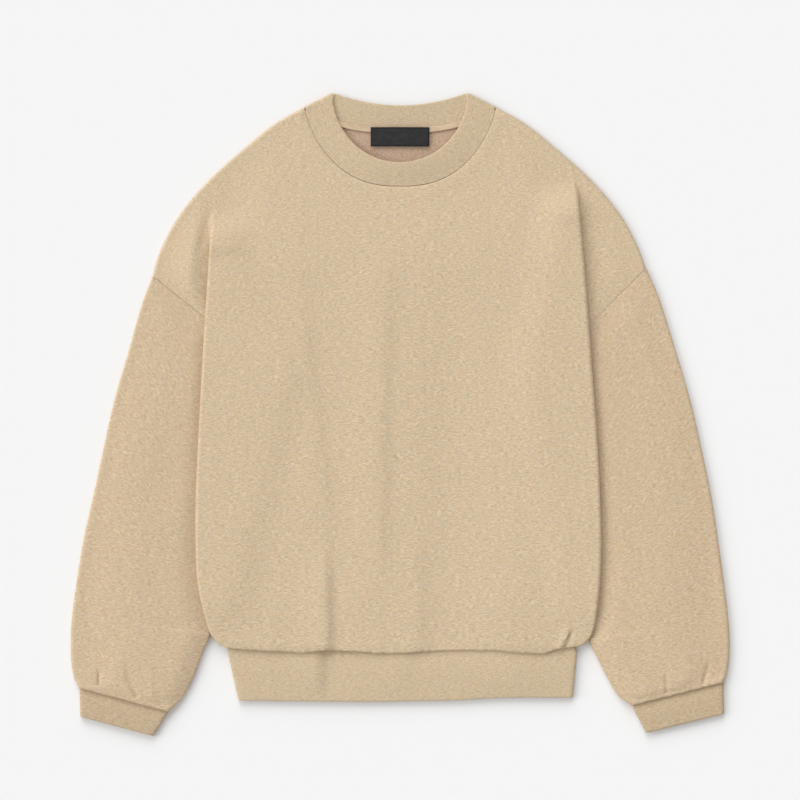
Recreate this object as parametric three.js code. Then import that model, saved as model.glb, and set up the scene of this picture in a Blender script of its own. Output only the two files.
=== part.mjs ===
import * as THREE from "three";

const { clamp, lerp } = THREE.MathUtils;

// A crewneck sweatshirt of brushed fleece, laid flat and seen from above, in millimetres.
// X runs across it, Y from hem to neck and Z up from the surface that it lies on.
// Left and right are the wearer's, so the left side is on +X. Every x in a table and in the
// functions of one side is a distance outward from the middle line, and sign turns it to X.

// Cloth
const FLEECE = 2.8;
const RIB = 3;
const TAPE = 1;
const SEAM = 0.3;

// Height of the middle of each layer: the back on the ground, the wings and sleeves' upper
// cloth on it, then the cloth folded under at the underarm, and the body's edge on top
const GROUND = FLEECE / 2;
const SECOND = GROUND + FLEECE + 0.4;
const FOLD_RADIUS = 2.4;
const SEAM_LEDGE = 2;
const THIRD = SECOND + 2 * FOLD_RADIUS;
const FOURTH = THIRD + 2 * FOLD_RADIUS;
const CHEST = 7.3;
const BLOUSE = 10;

// Underarm fold: shortest run between its two bends, how far below pleatTop the run gets there
// and the bends are full, the radius of a bend that has just begun, and its least turn
const LEAST_STRIP = 1.5;
const STRIP_FADE = 40;
const BEND_FADE = 53;
const OPEN_BEND = 4;
const LEAST_TURN = 0.02;

// Distances from the inside line between which a panel climbs over the sleeve
const CLIMB = { from: -32, to: -4 };

// Body and hem
const HEM_Y = -275;
const HEM_DIP = 1.2;
const HEM_FOOT = -330.5;
const HEM_SKEW = 1.5;
const TUCK = 5.5;
const TUCK_INSET = 2.5;
const HEM_RISE = 30;
const LIP_START = 3;

// Neck: half width and height of the collar seam at the shoulders, its drops, and the
// collar's free edge
const NECK_HALF = 110.8;
const NECK_Y = 356.7;
const FRONT_DROP = 92.8;
const BACK_DROP = 24.9;
const COLLAR_HALF = 78;
const COLLAR_Y = 373.2;
const COLLAR_DROP = 81;
const COLLAR_BACK_DROP = 14.8;
const COLLAR_STAND = 6.5;
const NECK_SLOPE = 70;
const TAPE_SHAPE = { half: 72, width: 5.6 };
const LABEL = { width: 68, height: 22.5, top: 333, overTape: 8 };

// Shoulder outline from the collar to the head of the sleeve, alike on both sides
const SHOULDER = [
  { x: 110.8, y: 356.7 },
  { x: 145, y: 337 },
  { x: 180, y: 309 },
  { x: 211.5, y: 281.3 },
  { x: 238.5, y: 253.5 },
  { x: 259.5, y: 225.6 },
  { x: 274.5, y: 197.8 },
  { x: 283, y: 176 },
  { x: 287.5, y: 158 },
];

// About where the line of the body's edge meets the shoulder outline
const EDGE_TOP = 285;

// One side each. edge is the body's visible side edge. pleatTop is where the fold under it
// begins, underarm where it ends inside, armholeFoot and shoulderEnd the ends of the armhole,
// and sleeveExit where the sleeve's inner edge comes out. sleeve has a row for each section.
const SIDES = {
  right: {
    sign: -1,
    pleatTop: 230,
    underarm: { x: 145, y: 47 },
    armholeFoot: { x: 155.4, y: 55.1 },
    shoulderEnd: { x: 286.5, y: 160.7 },
    sleeveExit: { x: 218.7, y: -254.6 },
    hemHalf: 199.5,
    hemFootHalf: 187,
    edge: [
      { y: -272, x: 204 },
      { y: -255, x: 218.5 },
      { y: -238, x: 225 },
      { y: -197, x: 234.3 },
      { y: -150, x: 236.8 },
      { y: -99, x: 236.6 },
      { y: -43, x: 234.3 },
      { y: 68, x: 228.5 },
      { y: 179, x: 221.6 },
      { y: 230, x: 218 },
      { y: 290, x: 214 },
    ],
    sleeve: [
      { outerX: 300, outerY: 124.6, innerX: 153.8, innerY: 11 },
      { outerX: 316, outerY: 68, innerX: 163.8, innerY: -29.6 },
      { outerX: 331, outerY: 16.8, innerX: 174.7, innerY: -73.7 },
      { outerX: 343.5, outerY: -39, innerX: 185.3, innerY: -116.6 },
      { outerX: 355.5, outerY: -94.5, innerX: 195.2, innerY: -157.2 },
      { outerX: 367.7, outerY: -150, innerX: 205.2, innerY: -197.8 },
      { outerX: 376.5, outerY: -206, innerX: 214.7, innerY: -236 },
      { outerX: 380.5, outerY: -238.4, innerX: 219.2, innerY: -254.6 },
      { outerX: 381.5, outerY: -263, innerX: 229, innerY: -277 },
      { outerX: 381, outerY: -284.8, innerX: 239, innerY: -304 },
      { outerX: 378, outerY: -303, innerX: 252.5, innerY: -328.5 },
    ],
    cuff: { outerX: 371.2, outerY: -318, innerX: 268.7, innerY: -345.4 },
    cuffFoot: { outerX: 370.4, outerY: -350.2, innerX: 285.7, innerY: -372.6 },
  },
  left: {
    sign: 1,
    pleatTop: 272,
    underarm: { x: 162, y: 47 },
    armholeFoot: { x: 171, y: 56 },
    shoulderEnd: { x: 285.4, y: 169.9 },
    sleeveExit: { x: 219.2, y: -261.6 },
    hemHalf: 205.3,
    hemFootHalf: 200.7,
    edge: [
      { y: -272, x: 210 },
      { y: -255, x: 221.5 },
      { y: -238, x: 226.5 },
      { y: -197, x: 231.5 },
      { y: -150, x: 233.2 },
      { y: -99, x: 232 },
      { y: -43, x: 229.5 },
      { y: 68, x: 221.6 },
      { y: 179, x: 213.4 },
      { y: 230, x: 208.5 },
      { y: 290, x: 201 },
    ],
    sleeve: [
      { outerX: 301, outerY: 132.8, innerX: 168.7, innerY: 11 },
      { outerX: 320, outerY: 72.5, innerX: 176.2, innerY: -29.6 },
      { outerX: 336.4, outerY: 16.8, innerX: 184.4, innerY: -73.7 },
      { outerX: 349.2, outerY: -39, innerX: 192.3, innerY: -116.6 },
      { outerX: 360.8, outerY: -94.5, innerX: 199.8, innerY: -157.2 },
      { outerX: 369.2, outerY: -150, innerX: 207.4, innerY: -197.8 },
      { outerX: 377, outerY: -206, innerX: 214.4, innerY: -236 },
      { outerX: 380.8, outerY: -240, innerX: 219.2, innerY: -261.6 },
      { outerX: 382, outerY: -262, innerX: 229, innerY: -282 },
      { outerX: 381.8, outerY: -280, innerX: 240, innerY: -304 },
      { outerX: 379.5, outerY: -297, innerX: 253, innerY: -325.5 },
    ],
    cuff: { outerX: 374.7, outerY: -311.5, innerX: 269.1, innerY: -338.1 },
    cuffFoot: { outerX: 375.8, outerY: -346.7, innerX: 285.4, innerY: -368.9 },
  },
};

// Soft troughs, with a height below 0, and ridges of the front, each on a line between two points
const FOLDS = [
  { x0: 0, y0: 150, x1: -9, y1: -190, width: 13, height: -1.3 },
  { x0: -106, y0: 100, x1: -74, y1: -262, width: 12, height: -1.9 },
  { x0: 74, y0: -10, x1: 57, y1: -220, width: 12, height: -1.6 },
  { x0: 92, y0: 0, x1: 88, y1: -225, width: 14, height: 0.8 },
  { x0: -50, y0: 60, x1: -45, y1: -230, width: 16, height: 0.7 },
  { x0: -188, y0: 80, x1: -187, y1: -170, width: 8, height: -1.2 },
  { x0: 196, y0: 40, x1: 178, y1: -240, width: 9, height: -1.1 },
];

// Grid counts
const NECK_COLUMNS = 8;
const RAMP_STOPS = [-32, -22, -12, -3];
const SIDE_COLUMNS = RAMP_STOPS.length + 1;
const BEND_STEPS = 4;
const STRIP_STEPS = 3;
const WING_COLUMNS = 4;
const ARC_STEPS = 4;
const SHOULDER_INSET = 3.2;
const WING_START = 4;
const EVEN_NECK = 0.97;

// Row height that stands for the top edge itself
const TOP_ROW = Infinity;

// Where collar seam and shoulder meet, set in by the shoulder's turned edge
const SHOULDER_POINT = { x: 109.2, y: 353.9 };

function ease(from, to, at) {
  const share = clamp((at - from) / (to - from), 0, 1);
  return share * share * (3 - 2 * share);
}

// Slope of a table's column through the rows on either side of row i
function slopeAt(table, key, column, i) {
  const before = table[Math.max(i - 1, 0)];
  const after = table[Math.min(i + 1, table.length - 1)];
  return (after[column] - before[column]) / (after[key] - before[key]);
}

// Reads a table's column where its key column has the value at, on a curve through the rows
function read(table, key, column, at) {
  const above = table.findIndex((row) => row[key] > at);
  const i = above < 0 ? table.length - 2 : Math.max(above - 1, 0);
  const span = table[i + 1][key] - table[i][key];
  const t = clamp((at - table[i][key]) / span, 0, 1);
  const rise = table[i + 1][column] - table[i][column];
  const lead = slopeAt(table, key, column, i) * span - rise;
  const trail = slopeAt(table, key, column, i + 1) * span - rise;
  return table[i][column] + t * rise + t * (1 - t) * ((1 - t) * lead - t * trail);
}

// Gives a grid of middle points a wall: corners are welded, moved out both ways along their
// normals, and the free edges closed. keep says which cells, by row and column, are cloth.
function clothWall(grid, thickness, keep = () => true) {
  const points = [];
  const lookup = new Map();
  const idOf = (point) => {
    if (!point) return -1;
    const name = point.toArray().map((value) => value.toFixed(2)).join();
    if (!lookup.has(name)) {
      lookup.set(name, points.length);
      points.push(point);
    }
    return lookup.get(name);
  };
  const ids = grid.map((row) => row.map(idOf));
  const faces = [];
  const addFace = (...corners) => {
    if (new Set(corners).size === 3) faces.push(corners);
  };
  for (let r = 0; r + 1 < ids.length; r += 1) {
    for (let c = 0; c + 1 < ids[r].length; c += 1) {
      const cell = [ids[r][c], ids[r][c + 1], ids[r + 1][c + 1], ids[r + 1][c]];
      if (Math.min(...cell) < 0 || !keep(r, c)) continue;
      const [a, b, d, e] = cell;
      if (points[a].distanceTo(points[d]) < points[b].distanceTo(points[e])) {
        addFace(a, b, d);
        addFace(a, d, e);
      } else {
        addFace(a, b, e);
        addFace(b, d, e);
      }
    }
  }
  return wallFromFaces(points, faces, thickness);
}

// Moves a triangle sheet out both ways, no lower than the ground, and joins the two skins along
// its free edges
function wallFromFaces(points, faces, thickness) {
  const normals = points.map(() => new THREE.Vector3());
  const around = points.map(() => []);
  for (const face of faces) {
    const [a, b, c] = face.map((id) => points[id]);
    const normal = b.clone().sub(a).cross(c.clone().sub(a)).normalize();
    face.forEach((id, i) => {
      const one = points[face[(i + 1) % 3]].clone().sub(points[id]);
      const other = points[face[(i + 2) % 3]].clone().sub(points[id]);
      normals[id].addScaledVector(normal, one.angleTo(other));
      around[id].push(normal);
    });
  }
  const skins = [1, -1].map((way) =>
    points.map((point, id) => {
      const normal = normals[id].clone().normalize();
      const total = around[id].reduce((sum, other) => sum + other.dot(normal), 0);
      const mitre = Math.max(total / Math.max(around[id].length, 1), 0.8);
      const moved = point.clone().addScaledVector(normal, (way * thickness) / 2 / mitre);
      moved.z = Math.max(moved.z, 0);
      return moved;
    }),
  );
  const edges = new Set(faces.flatMap(([a, b, c]) => [`${a},${b}`, `${b},${c}`, `${c},${a}`]));
  const below = points.length;
  const solid = faces.flatMap(([a, b, c]) => [a, b, c, c + below, b + below, a + below]);
  for (const [a, b] of [...edges].map((edge) => edge.split(",").map(Number))) {
    if (edges.has(`${b},${a}`)) continue;
    solid.push(b, a, a + below, b, a + below, b + below);
  }
  const geometry = new THREE.BufferGeometry();
  geometry.setAttribute(
    "position",
    new THREE.Float32BufferAttribute(skins.flat().flatMap((point) => point.toArray()), 3),
  );
  geometry.setIndex(solid);
  geometry.computeVertexNormals();
  return geometry;
}

// Collar seam on the front, by the angle from the shoulder (0) to the middle (a quarter turn)
function frontNeckline(angle) {
  const across = Math.cos(angle);
  const down = Math.max(1 - across ** 2.5, 0) ** 0.7;
  return { x: NECK_HALF * across, y: NECK_Y - FRONT_DROP * down };
}

function backNeckline(x) {
  return NECK_Y - BACK_DROP * (1 - (x / NECK_HALF) ** 2.6);
}

// Height of the front's neck edge over the ground: it lies lowest at the shoulders
function neckLevel(x) {
  return SECOND + 0.4 + 2.6 * (1 - Math.min(x / NECK_HALF, 1) ** 2);
}

function neckAngle(column) {
  return (Math.PI / 2) * (1 - column / NECK_COLUMNS);
}

function shoulderY(x) {
  return read(SHOULDER, "x", "y", x);
}

// Outward direction of the shoulder outline
function shoulderNormal(x) {
  const step = 1;
  const slope = (shoulderY(x + step) - shoulderY(x - step)) / (2 * step);
  return new THREE.Vector2(-slope, 1).normalize();
}

// Top of the front panel over a distance from the middle line
function topY(x) {
  if (x < NECK_HALF) return frontNeckline(Math.acos(x / NECK_HALF)).y;
  return shoulderY(x) - SHOULDER_INSET / shoulderNormal(x).y;
}

function edgeX(side, y) {
  return read(side.edge, "y", "x", y);
}

// Height of the shoulder outline at the body's edge, where a panel's topmost row ends
function topRow(side) {
  return topY(edgeX(side, EDGE_TOP));
}

// Length of the cloth between the two bends of the underarm fold
function stripLength(side, y) {
  const { underarm, pleatTop } = side;
  const full = edgeX(side, underarm.y) - underarm.x - FLEECE - 2 * FOLD_RADIUS;
  const share = (y - underarm.y) / (pleatTop - STRIP_FADE - underarm.y);
  return lerp(full, LEAST_STRIP, clamp(share, 0, 1));
}

// Turn of each bend of the underarm fold: none above pleatTop, then a half turn
function foldTurn(side, y) {
  return Math.PI * ease(side.pleatTop, side.pleatTop - BEND_FADE, y);
}

function bendRadius(turn) {
  return (FOLD_RADIUS * turn + OPEN_BEND * (1 - turn / Math.PI)) / turn;
}

// Line inside which nothing lies between front and back: the sleeve's inner edge, and above
// the underarm the inner bend of the fold
function insideLine(side, y) {
  if (y > side.underarm.y) {
    return edgeX(side, y) - stripLength(side, y) - FLEECE - 2 * FOLD_RADIUS;
  }
  const { underarm, sleeveExit } = side;
  return lerp(underarm.x, sleeveExit.x, (underarm.y - y) / (underarm.y - sleeveExit.y));
}

// Path of the fold's two bends and strip, from the end of the chest: steps outward and up
function foldPath(side, y) {
  const turn = Math.max(foldTurn(side, y), LEAST_TURN);
  const radius = bendRadius(turn);
  const strip = stripLength(side, y);
  const path = [];
  for (let i = 1; i <= BEND_STEPS; i += 1) {
    const angle = (turn * i) / BEND_STEPS;
    path.push({ out: radius * Math.sin(angle), up: -radius * (1 - Math.cos(angle)) });
  }
  const first = path.at(-1);
  for (const run of [Math.min(SEAM_LEDGE, 0.3 * strip), 0.6 * strip, strip]) {
    path.push({ out: first.out + run * Math.cos(turn), up: first.up - run * Math.sin(turn) });
  }
  const second = path.at(-1);
  for (let i = 1; i <= BEND_STEPS; i += 1) {
    const angle = turn - (turn * i) / BEND_STEPS;
    path.push({
      out: second.out + radius * (Math.sin(turn) - Math.sin(angle)),
      up: second.up - radius * (Math.cos(angle) - Math.cos(turn)),
    });
  }
  return path;
}

// Height of the front's top layer at the side edge
function edgeLevel(side, y) {
  if (y <= side.underarm.y) return FOURTH;
  return SECOND - foldPath(side, y).at(-1).up;
}

function foldRelief(x, y) {
  let relief = 0;
  for (const fold of FOLDS) {
    const line = new THREE.Vector2(fold.x1 - fold.x0, fold.y1 - fold.y0);
    const from = new THREE.Vector2(x - fold.x0, y - fold.y0);
    const share = from.dot(line) / line.lengthSq();
    const off = from.cross(line) / line.length();
    const fade = ease(-0.1, 0.25, share) * ease(1.08, 0.8, share);
    relief += fold.height * fade * Math.exp(-((off / fold.width) ** 2));
  }
  return relief;
}

// Height of the middle of the front over the body
function frontLevel(side, x, y) {
  const nearTop = ease(NECK_SLOPE, 0, topY(x) - y);
  const topLevel = x < NECK_HALF ? neckLevel(x) : SECOND;
  const open = lerp(CHEST + foldRelief(side.sign * x, y), topLevel, nearTop);
  const over = ease(CLIMB.from, CLIMB.to, x - insideLine(side, y));
  const level = lerp(open, edgeLevel(side, y), over);
  return lerp(BLOUSE, level, ease(HEM_Y + LIP_START, HEM_Y + HEM_RISE, y));
}

// Height of the middle of the back where it rises over the sleeve, below the underarm. Just
// inside the underarm it sinks again, so that the wing above it can lie on the ground.
function backLevel(side, x, y) {
  const beyond = x - insideLine(side, y);
  const over = ease(CLIMB.from, CLIMB.to, beyond) * ease(HEM_Y + 5, HEM_Y + 20, y);
  const sink = beyond > CLIMB.to ? 1 : ease(side.underarm.y + 25, side.underarm.y - 16, y);
  return lerp(GROUND, THIRD, over * sink);
}

// Where the body's top layer ends and its side bend begins
function chestEnd(side, y) {
  const edge = edgeX(side, y);
  if (y > side.underarm.y) return edge - FLEECE / 2 - FOLD_RADIUS;
  const radius = (frontLevel(side, edge, y) - backLevel(side, edge, y)) / 2;
  return edge - FLEECE / 2 - radius;
}

// How far up a row lies, from the hem (0) to the top edge (1)
function shareUp(side, y) {
  return clamp((y - HEM_Y) / (topRow(side) - HEM_Y), 0, 1);
}

// Columns outside the neck, at steps before and after the line inside which front and back
// meet. At the top edge they stand evenly along the shoulder.
function rampColumns(side, y, end) {
  const even = ease(side.underarm.y, topY(end), y) ** 2;
  return RAMP_STOPS.map((stop, i) => {
    const last = end - (RAMP_STOPS.length - i) * 2;
    const ramp = Math.min(Math.max(insideLine(side, y) + stop, NECK_HALF + 1 + i), last);
    return lerp(ramp, lerp(NECK_HALF, end, (i + 1) / (RAMP_STOPS.length + 1)), even);
  });
}

// The chest columns of a row, from the middle line out to the side bend
function chestPoints(side, y) {
  const share = shareUp(side, y);
  const end = chestEnd(side, y);
  const xs = [];
  for (let i = 0; i <= NECK_COLUMNS; i += 1) {
    const even = (NECK_HALF * EVEN_NECK * i) / NECK_COLUMNS;
    xs.push(lerp(even, NECK_HALF * Math.cos(neckAngle(i)), share ** 3));
  }
  xs.push(...rampColumns(side, y, end), end);
  return xs.map((x, i) => {
    const top = i === NECK_COLUMNS ? SHOULDER_POINT.y : topY(x);
    const across = i === NECK_COLUMNS ? Math.min(x, lerp(x, SHOULDER_POINT.x, share ** 3)) : x;
    const height = y + (top - topY(end)) * share;
    return new THREE.Vector3(side.sign * across, height, frontLevel(side, across, height));
  });
}

// Side bend below the underarm, down to a ledge that ends at the side seam
function sideBend(side, y) {
  const end = chestEnd(side, y);
  const level = frontLevel(side, end, y);
  const radius = (level - backLevel(side, end, y)) / 2;
  const points = [];
  for (let i = 1; i <= BEND_STEPS; i += 1) {
    const angle = (Math.PI * i) / BEND_STEPS;
    const x = end + radius * Math.sin(angle);
    points.push(new THREE.Vector3(side.sign * x, y, level - radius * (1 - Math.cos(angle))));
  }
  points.push(new THREE.Vector3(side.sign * (end - SEAM_LEDGE), y, level - 2 * radius));
  return points;
}

// Underarm fold and the wing outside it, out to the armhole
function foldAndWing(side, y) {
  const end = chestEnd(side, y);
  const level = SECOND - foldPath(side, y).at(-1).up;
  const pull = ease(side.pleatTop - 20, topY(end), y);
  const points = foldPath(side, y).map(({ out, up }) => {
    const x = end + out;
    const height = y + (topY(x) - topY(end)) * pull;
    return new THREE.Vector3(side.sign * x, height, level + up);
  });
  return points.concat(wingPoints(side, points.at(-1), y));
}

function armholePoint(side, share, inset) {
  const { armholeFoot, shoulderEnd } = side;
  const foot = new THREE.Vector2(armholeFoot.x, armholeFoot.y);
  const head = new THREE.Vector2(shoulderEnd.x, shoulderEnd.y);
  const along = head.clone().sub(foot).normalize();
  head.addScaledVector(along, -inset);
  const point = foot.lerp(head, share);
  return point.add(new THREE.Vector2(-along.y, along.x).multiplyScalar(SEAM / 2));
}

// Points of the shoulder outline outside the body's edge, ending at the armhole
function shoulderPoints(side, from) {
  const end = side.shoulderEnd.x;
  const points = [];
  for (let i = 1; i < WING_COLUMNS; i += 1) {
    const x = lerp(from, end, Math.sin(((Math.PI / 2) * i) / WING_COLUMNS));
    points.push({ at: new THREE.Vector2(x, shoulderY(x)), normal: shoulderNormal(x) });
  }
  const head = armholePoint(side, 1, 0);
  const normal = head.clone().sub(armholePoint(side, 0, 0)).normalize();
  points.push({ at: head, normal });
  return points;
}

// Wing from a point on the body's edge out to the armhole, on the same straight lines below
// and on the shoulder's curve at the top
function wingPoints(side, start, y, level = SECOND) {
  const top = topRow(side);
  const share = clamp((y - side.underarm.y) / (top - side.underarm.y), 0, 1);
  const from = new THREE.Vector2(side.sign * start.x, start.y);
  const topFrom = edgeX(side, top) + WING_START;
  const outline = shoulderPoints(side, topFrom).map(({ at, normal }) =>
    at.clone().addScaledVector(normal, -SHOULDER_INSET),
  );
  const topStart = new THREE.Vector2(topFrom, topY(topFrom));
  return outline.map((target, i) => {
    const along = (i + 1) / WING_COLUMNS;
    const straight = from.clone().lerp(armholePoint(side, share, SHOULDER_INSET), along);
    const topStraight = topStart.clone().lerp(outline.at(-1), along);
    const point = straight.add(target.clone().sub(topStraight).multiplyScalar(share ** 3));
    return new THREE.Vector3(side.sign * point.x, point.y, level);
  });
}

// Rows of the front's lip over the hem band: how far it has closed on the band, and heights
const LIP_ROWS = [
  { y: 1.4, z: 7.6, closed: 1 },
  { y: 1.5, z: 9.2, closed: 0.35 },
  { y: 3.3, z: BLOUSE, closed: 0 },
];

const LIP_TOP = -269;

// Bend of the lip round the end of the hem band, and its space from the band
const BAND_END = { radius: RIB + 0.6, space: 0.4 };

function hemLine(x) {
  return HEM_Y - HEM_DIP + 5 * (x / 207) ** 6;
}

// One row of the lip on one side, closing round the end of the hem band
function lipPoints(side, lip) {
  const end = chestEnd(side, HEM_Y + LIP_START);
  const radius = (BLOUSE - GROUND) / 2;
  const bandRadius = BAND_END.radius;
  const clear = bandRadius + BAND_END.space;
  const bandEnd = side.hemHalf - bandRadius;
  const lowest = Math.acos((GROUND - bandRadius) / clear);
  const points = [];
  for (let i = 0; i <= NECK_COLUMNS + SIDE_COLUMNS; i += 1) {
    const inner = Math.min(i, NECK_COLUMNS);
    const outer = Math.max(i - NECK_COLUMNS, 0) / SIDE_COLUMNS;
    const x = lerp((NECK_HALF * inner) / NECK_COLUMNS, lerp(end, bandEnd, lip.closed), outer);
    points.push(new THREE.Vector3(side.sign * x, hemLine(x) + lip.y, lip.z));
  }
  for (let i = 1; i <= BEND_STEPS; i += 1) {
    const share = i / BEND_STEPS;
    const openX = end + radius * Math.sin(Math.PI * share);
    const openZ = GROUND + radius * (1 + Math.cos(Math.PI * share));
    const shutX = bandEnd + clear * Math.sin(lowest * share);
    const shutZ = bandRadius + clear * Math.cos(lowest * share);
    const x = lerp(openX, shutX, lip.closed);
    const z = lerp(openZ, shutZ, lip.closed);
    points.push(new THREE.Vector3(side.sign * x, hemLine(x) + lip.y, z));
  }
  const last = points.at(-1);
  const ledge = lerp(SEAM_LEDGE, SEAM, lip.closed);
  points.push(new THREE.Vector3(last.x - side.sign * ledge, last.y, last.z));
  return points;
}

// Rows that turn the front's shoulder edge down to the ground, by inset and height
const WRAP_ROWS = [
  { inset: 1.9, z: 4.1 },
  { inset: 1.4, z: 2.9 },
  { inset: 1.4, z: 0.5 },
];

function wrapPoints(side, wrap) {
  const top = topRow(side);
  const end = chestEnd(side, top);
  const xs = [NECK_HALF, ...rampColumns(side, top, end), end];
  for (const { out } of foldPath(side, top)) xs.push(end + out);
  const outline = xs.map((x) => ({
    at: new THREE.Vector2(x, shoulderY(x)),
    normal: shoulderNormal(x),
  }));
  outline.push(...shoulderPoints(side, edgeX(side, top) + WING_START));
  const points = outline.map(({ at, normal }) => {
    const point = at.clone().addScaledVector(normal, -wrap.inset);
    return new THREE.Vector3(side.sign * point.x, point.y, wrap.z);
  });
  return new Array(NECK_COLUMNS).fill(null).concat(points);
}

// Heights of the rows below and above the underarm
const BODY_ROWS = [-264, -254, -244, -228, -200, -155, -100, -50, 0, 47];
const YOKE_ROWS = [85, 122, 158, 186, 207, 224, 238, 252, 264, 275, TOP_ROW];

// Joins the two sides of a row at the middle line
function wholeRow(sideRow) {
  const rightHalf = sideRow(SIDES.right).reverse();
  return rightHalf.concat(sideRow(SIDES.left).slice(1));
}

function makeFront() {
  const wide = NECK_COLUMNS + SIDE_COLUMNS + 2 * BEND_STEPS + STRIP_STEPS + WING_COLUMNS + 1;
  const padded = (points) => points.concat(new Array(wide - points.length).fill(null));
  const capped = (side, y) => Math.min(y, topRow(side));
  const rows = LIP_ROWS.map((lip) => wholeRow((side) => padded(lipPoints(side, lip))));
  for (const y of BODY_ROWS.slice(0, -1)) {
    rows.push(wholeRow((side) => padded(chestPoints(side, y).concat(sideBend(side, y)))));
  }
  for (const y of [BODY_ROWS.at(-1), ...YOKE_ROWS]) {
    rows.push(
      wholeRow((side) => {
        const height = capped(side, y);
        return chestPoints(side, height).concat(foldAndWing(side, height));
      }),
    );
  }
  for (const wrap of WRAP_ROWS) rows.push(wholeRow((side) => wrapPoints(side, wrap)));
  return clothWall(rows, FLEECE);
}

const BACK_YOKE_ROWS = [47, 60, 78, 120, 170, 220, 255, TOP_ROW];
const BACK_INSET = 0.4;

// A row of the back panel: flat on the ground, with side flaps that rise over the sleeves below
// the underarm and wings that lie under them above it
function backPoints(side, y, isYoke) {
  const top = topRow(side);
  const row = Math.min(y, top);
  const end = chestEnd(side, row <= LIP_TOP ? HEM_Y + LIP_START : row);
  const seam = lerp(SEAM, 5 * SEAM, ease(-235, -262, row));
  const up = clamp((row - side.underarm.y) / (top - side.underarm.y), 0, 1) ** 2;
  const points = [];
  const add = (x, topAtX, level, shift = 0) => {
    const height = row + (topAtX - top) * up + shift;
    points.push(new THREE.Vector3(side.sign * x, height, level));
  };
  for (let i = 0; i < NECK_COLUMNS; i += 1) {
    const even = (NECK_HALF * EVEN_NECK * i) / NECK_COLUMNS;
    const x = lerp(even, NECK_HALF * Math.cos(neckAngle(i)), up);
    add(x, Math.min(backNeckline(x), SHOULDER_POINT.y - 1), backLevel(side, x, row));
  }
  const pointX = lerp(NECK_HALF * EVEN_NECK, SHOULDER_POINT.x - BACK_INSET, up);
  add(pointX, SHOULDER_POINT.y - BACK_INSET, backLevel(side, pointX, row));
  const ramps = rampColumns(side, row, isYoke ? end : end - SEAM_LEDGE);
  ramps.forEach((x, i) => {
    const isEdge = i === RAMP_STOPS.length - 1;
    add(x, topY(x) - BACK_INSET, isYoke && isEdge ? GROUND : backLevel(side, x, row));
  });
  if (isYoke) return points.concat(wingPoints(side, points.at(-1), row, GROUND));
  const from = ramps.at(-1);
  for (let i = 1; i <= WING_COLUMNS; i += 1) {
    const x = lerp(from, end - SEAM_LEDGE - seam, i / WING_COLUMNS);
    add(x, top, backLevel(side, x, row), row === side.underarm.y ? -5 * SEAM : 0);
  }
  return points;
}

function makeBack() {
  const bodyRows = [HEM_Y + SEAM, LIP_TOP, ...BODY_ROWS];
  const rows = bodyRows.map((y) => wholeRow((side) => backPoints(side, y, false)));
  rows.push(...BACK_YOKE_ROWS.map((y) => wholeRow((side) => backPoints(side, y, true))));
  const half = NECK_COLUMNS + RAMP_STOPS.length + WING_COLUMNS;
  const split = bodyRows.length - 1;
  const beyond = half - WING_COLUMNS - 1;
  const keep = (r, c) => r !== split || Math.abs(c + 0.5 - half) < beyond;
  return clothWall(rows, FLEECE, keep);
}

// Ring of middle points round a flattened tube between two plan points. low is the middle of
// the under cloth and high that of the upper cloth by its share of the way across.
function flatRing({ outer, inner, wall, low, high, upper, under }) {
  const across = inner.clone().sub(outer);
  const length = across.length();
  across.normalize();
  const outerRadius = (high(0) - low) / 2;
  const innerRadius = (high(1) - low) / 2;
  const from = wall / 2 + outerRadius;
  const to = length - wall / 2 - innerRadius;
  const ring = [];
  const add = (distance, level) => {
    const at = outer.clone().addScaledVector(across, distance);
    ring.push(new THREE.Vector3(at.x, at.y, level));
  };
  for (let i = 0; i <= upper; i += 1) add(lerp(from, to, i / upper), high(i / upper));
  for (let i = 1; i < ARC_STEPS; i += 1) {
    const turn = (Math.PI * i) / ARC_STEPS;
    add(to + innerRadius * Math.sin(turn), low + innerRadius * (1 + Math.cos(turn)));
  }
  for (let i = 0; i <= under; i += 1) add(lerp(to, from, i / under), low);
  for (let i = 1; i < ARC_STEPS; i += 1) {
    const turn = (Math.PI * i) / ARC_STEPS;
    add(from - outerRadius * Math.sin(turn), low + outerRadius * (1 - Math.cos(turn)));
  }
  ring.push(ring[0].clone());
  return ring;
}

const planPoint = (side, x, y) => new THREE.Vector2(side.sign * x, y);
const endsOf = (side, row) => ({
  outer: planPoint(side, row.outerX, row.outerY),
  inner: planPoint(side, row.innerX, row.innerY),
});

// Space between the two layers of a flattened band, and where its rings stand along it
const BAND_SPACE = 1.2;
const BAND_RINGS = [0.06, 0.5, 0.94, 1];

// A doubled rib band, flattened: its seam end is narrowed and tucked under the lip above it
function makeBand({ top, foot, into, upper, under }) {
  const low = RIB / 2;
  const high = () => low + RIB + BAND_SPACE;
  const middle = top.outer.clone().add(top.inner).multiplyScalar(0.5);
  const narrow = 1 - (2 * TUCK_INSET) / top.outer.distanceTo(top.inner);
  const ringAt = (share) =>
    flatRing({
      outer: top.outer.clone().lerp(foot.outer, share),
      inner: top.inner.clone().lerp(foot.inner, share),
      wall: RIB,
      low,
      high,
      upper,
      under,
    });
  const seamRing = ringAt(0).map((point) => {
    const isUpper = point.z > low + (RIB + BAND_SPACE) / 2;
    const reach = isUpper ? TUCK : -SEAM / 2;
    const scale = isUpper ? narrow : 1;
    return new THREE.Vector3(
      middle.x + (point.x - middle.x) * scale + into.x * reach,
      middle.y + (point.y - middle.y) * scale + into.y * reach,
      point.z,
    );
  });
  return clothWall([seamRing, ...BAND_RINGS.map(ringAt)], RIB);
}

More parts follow.
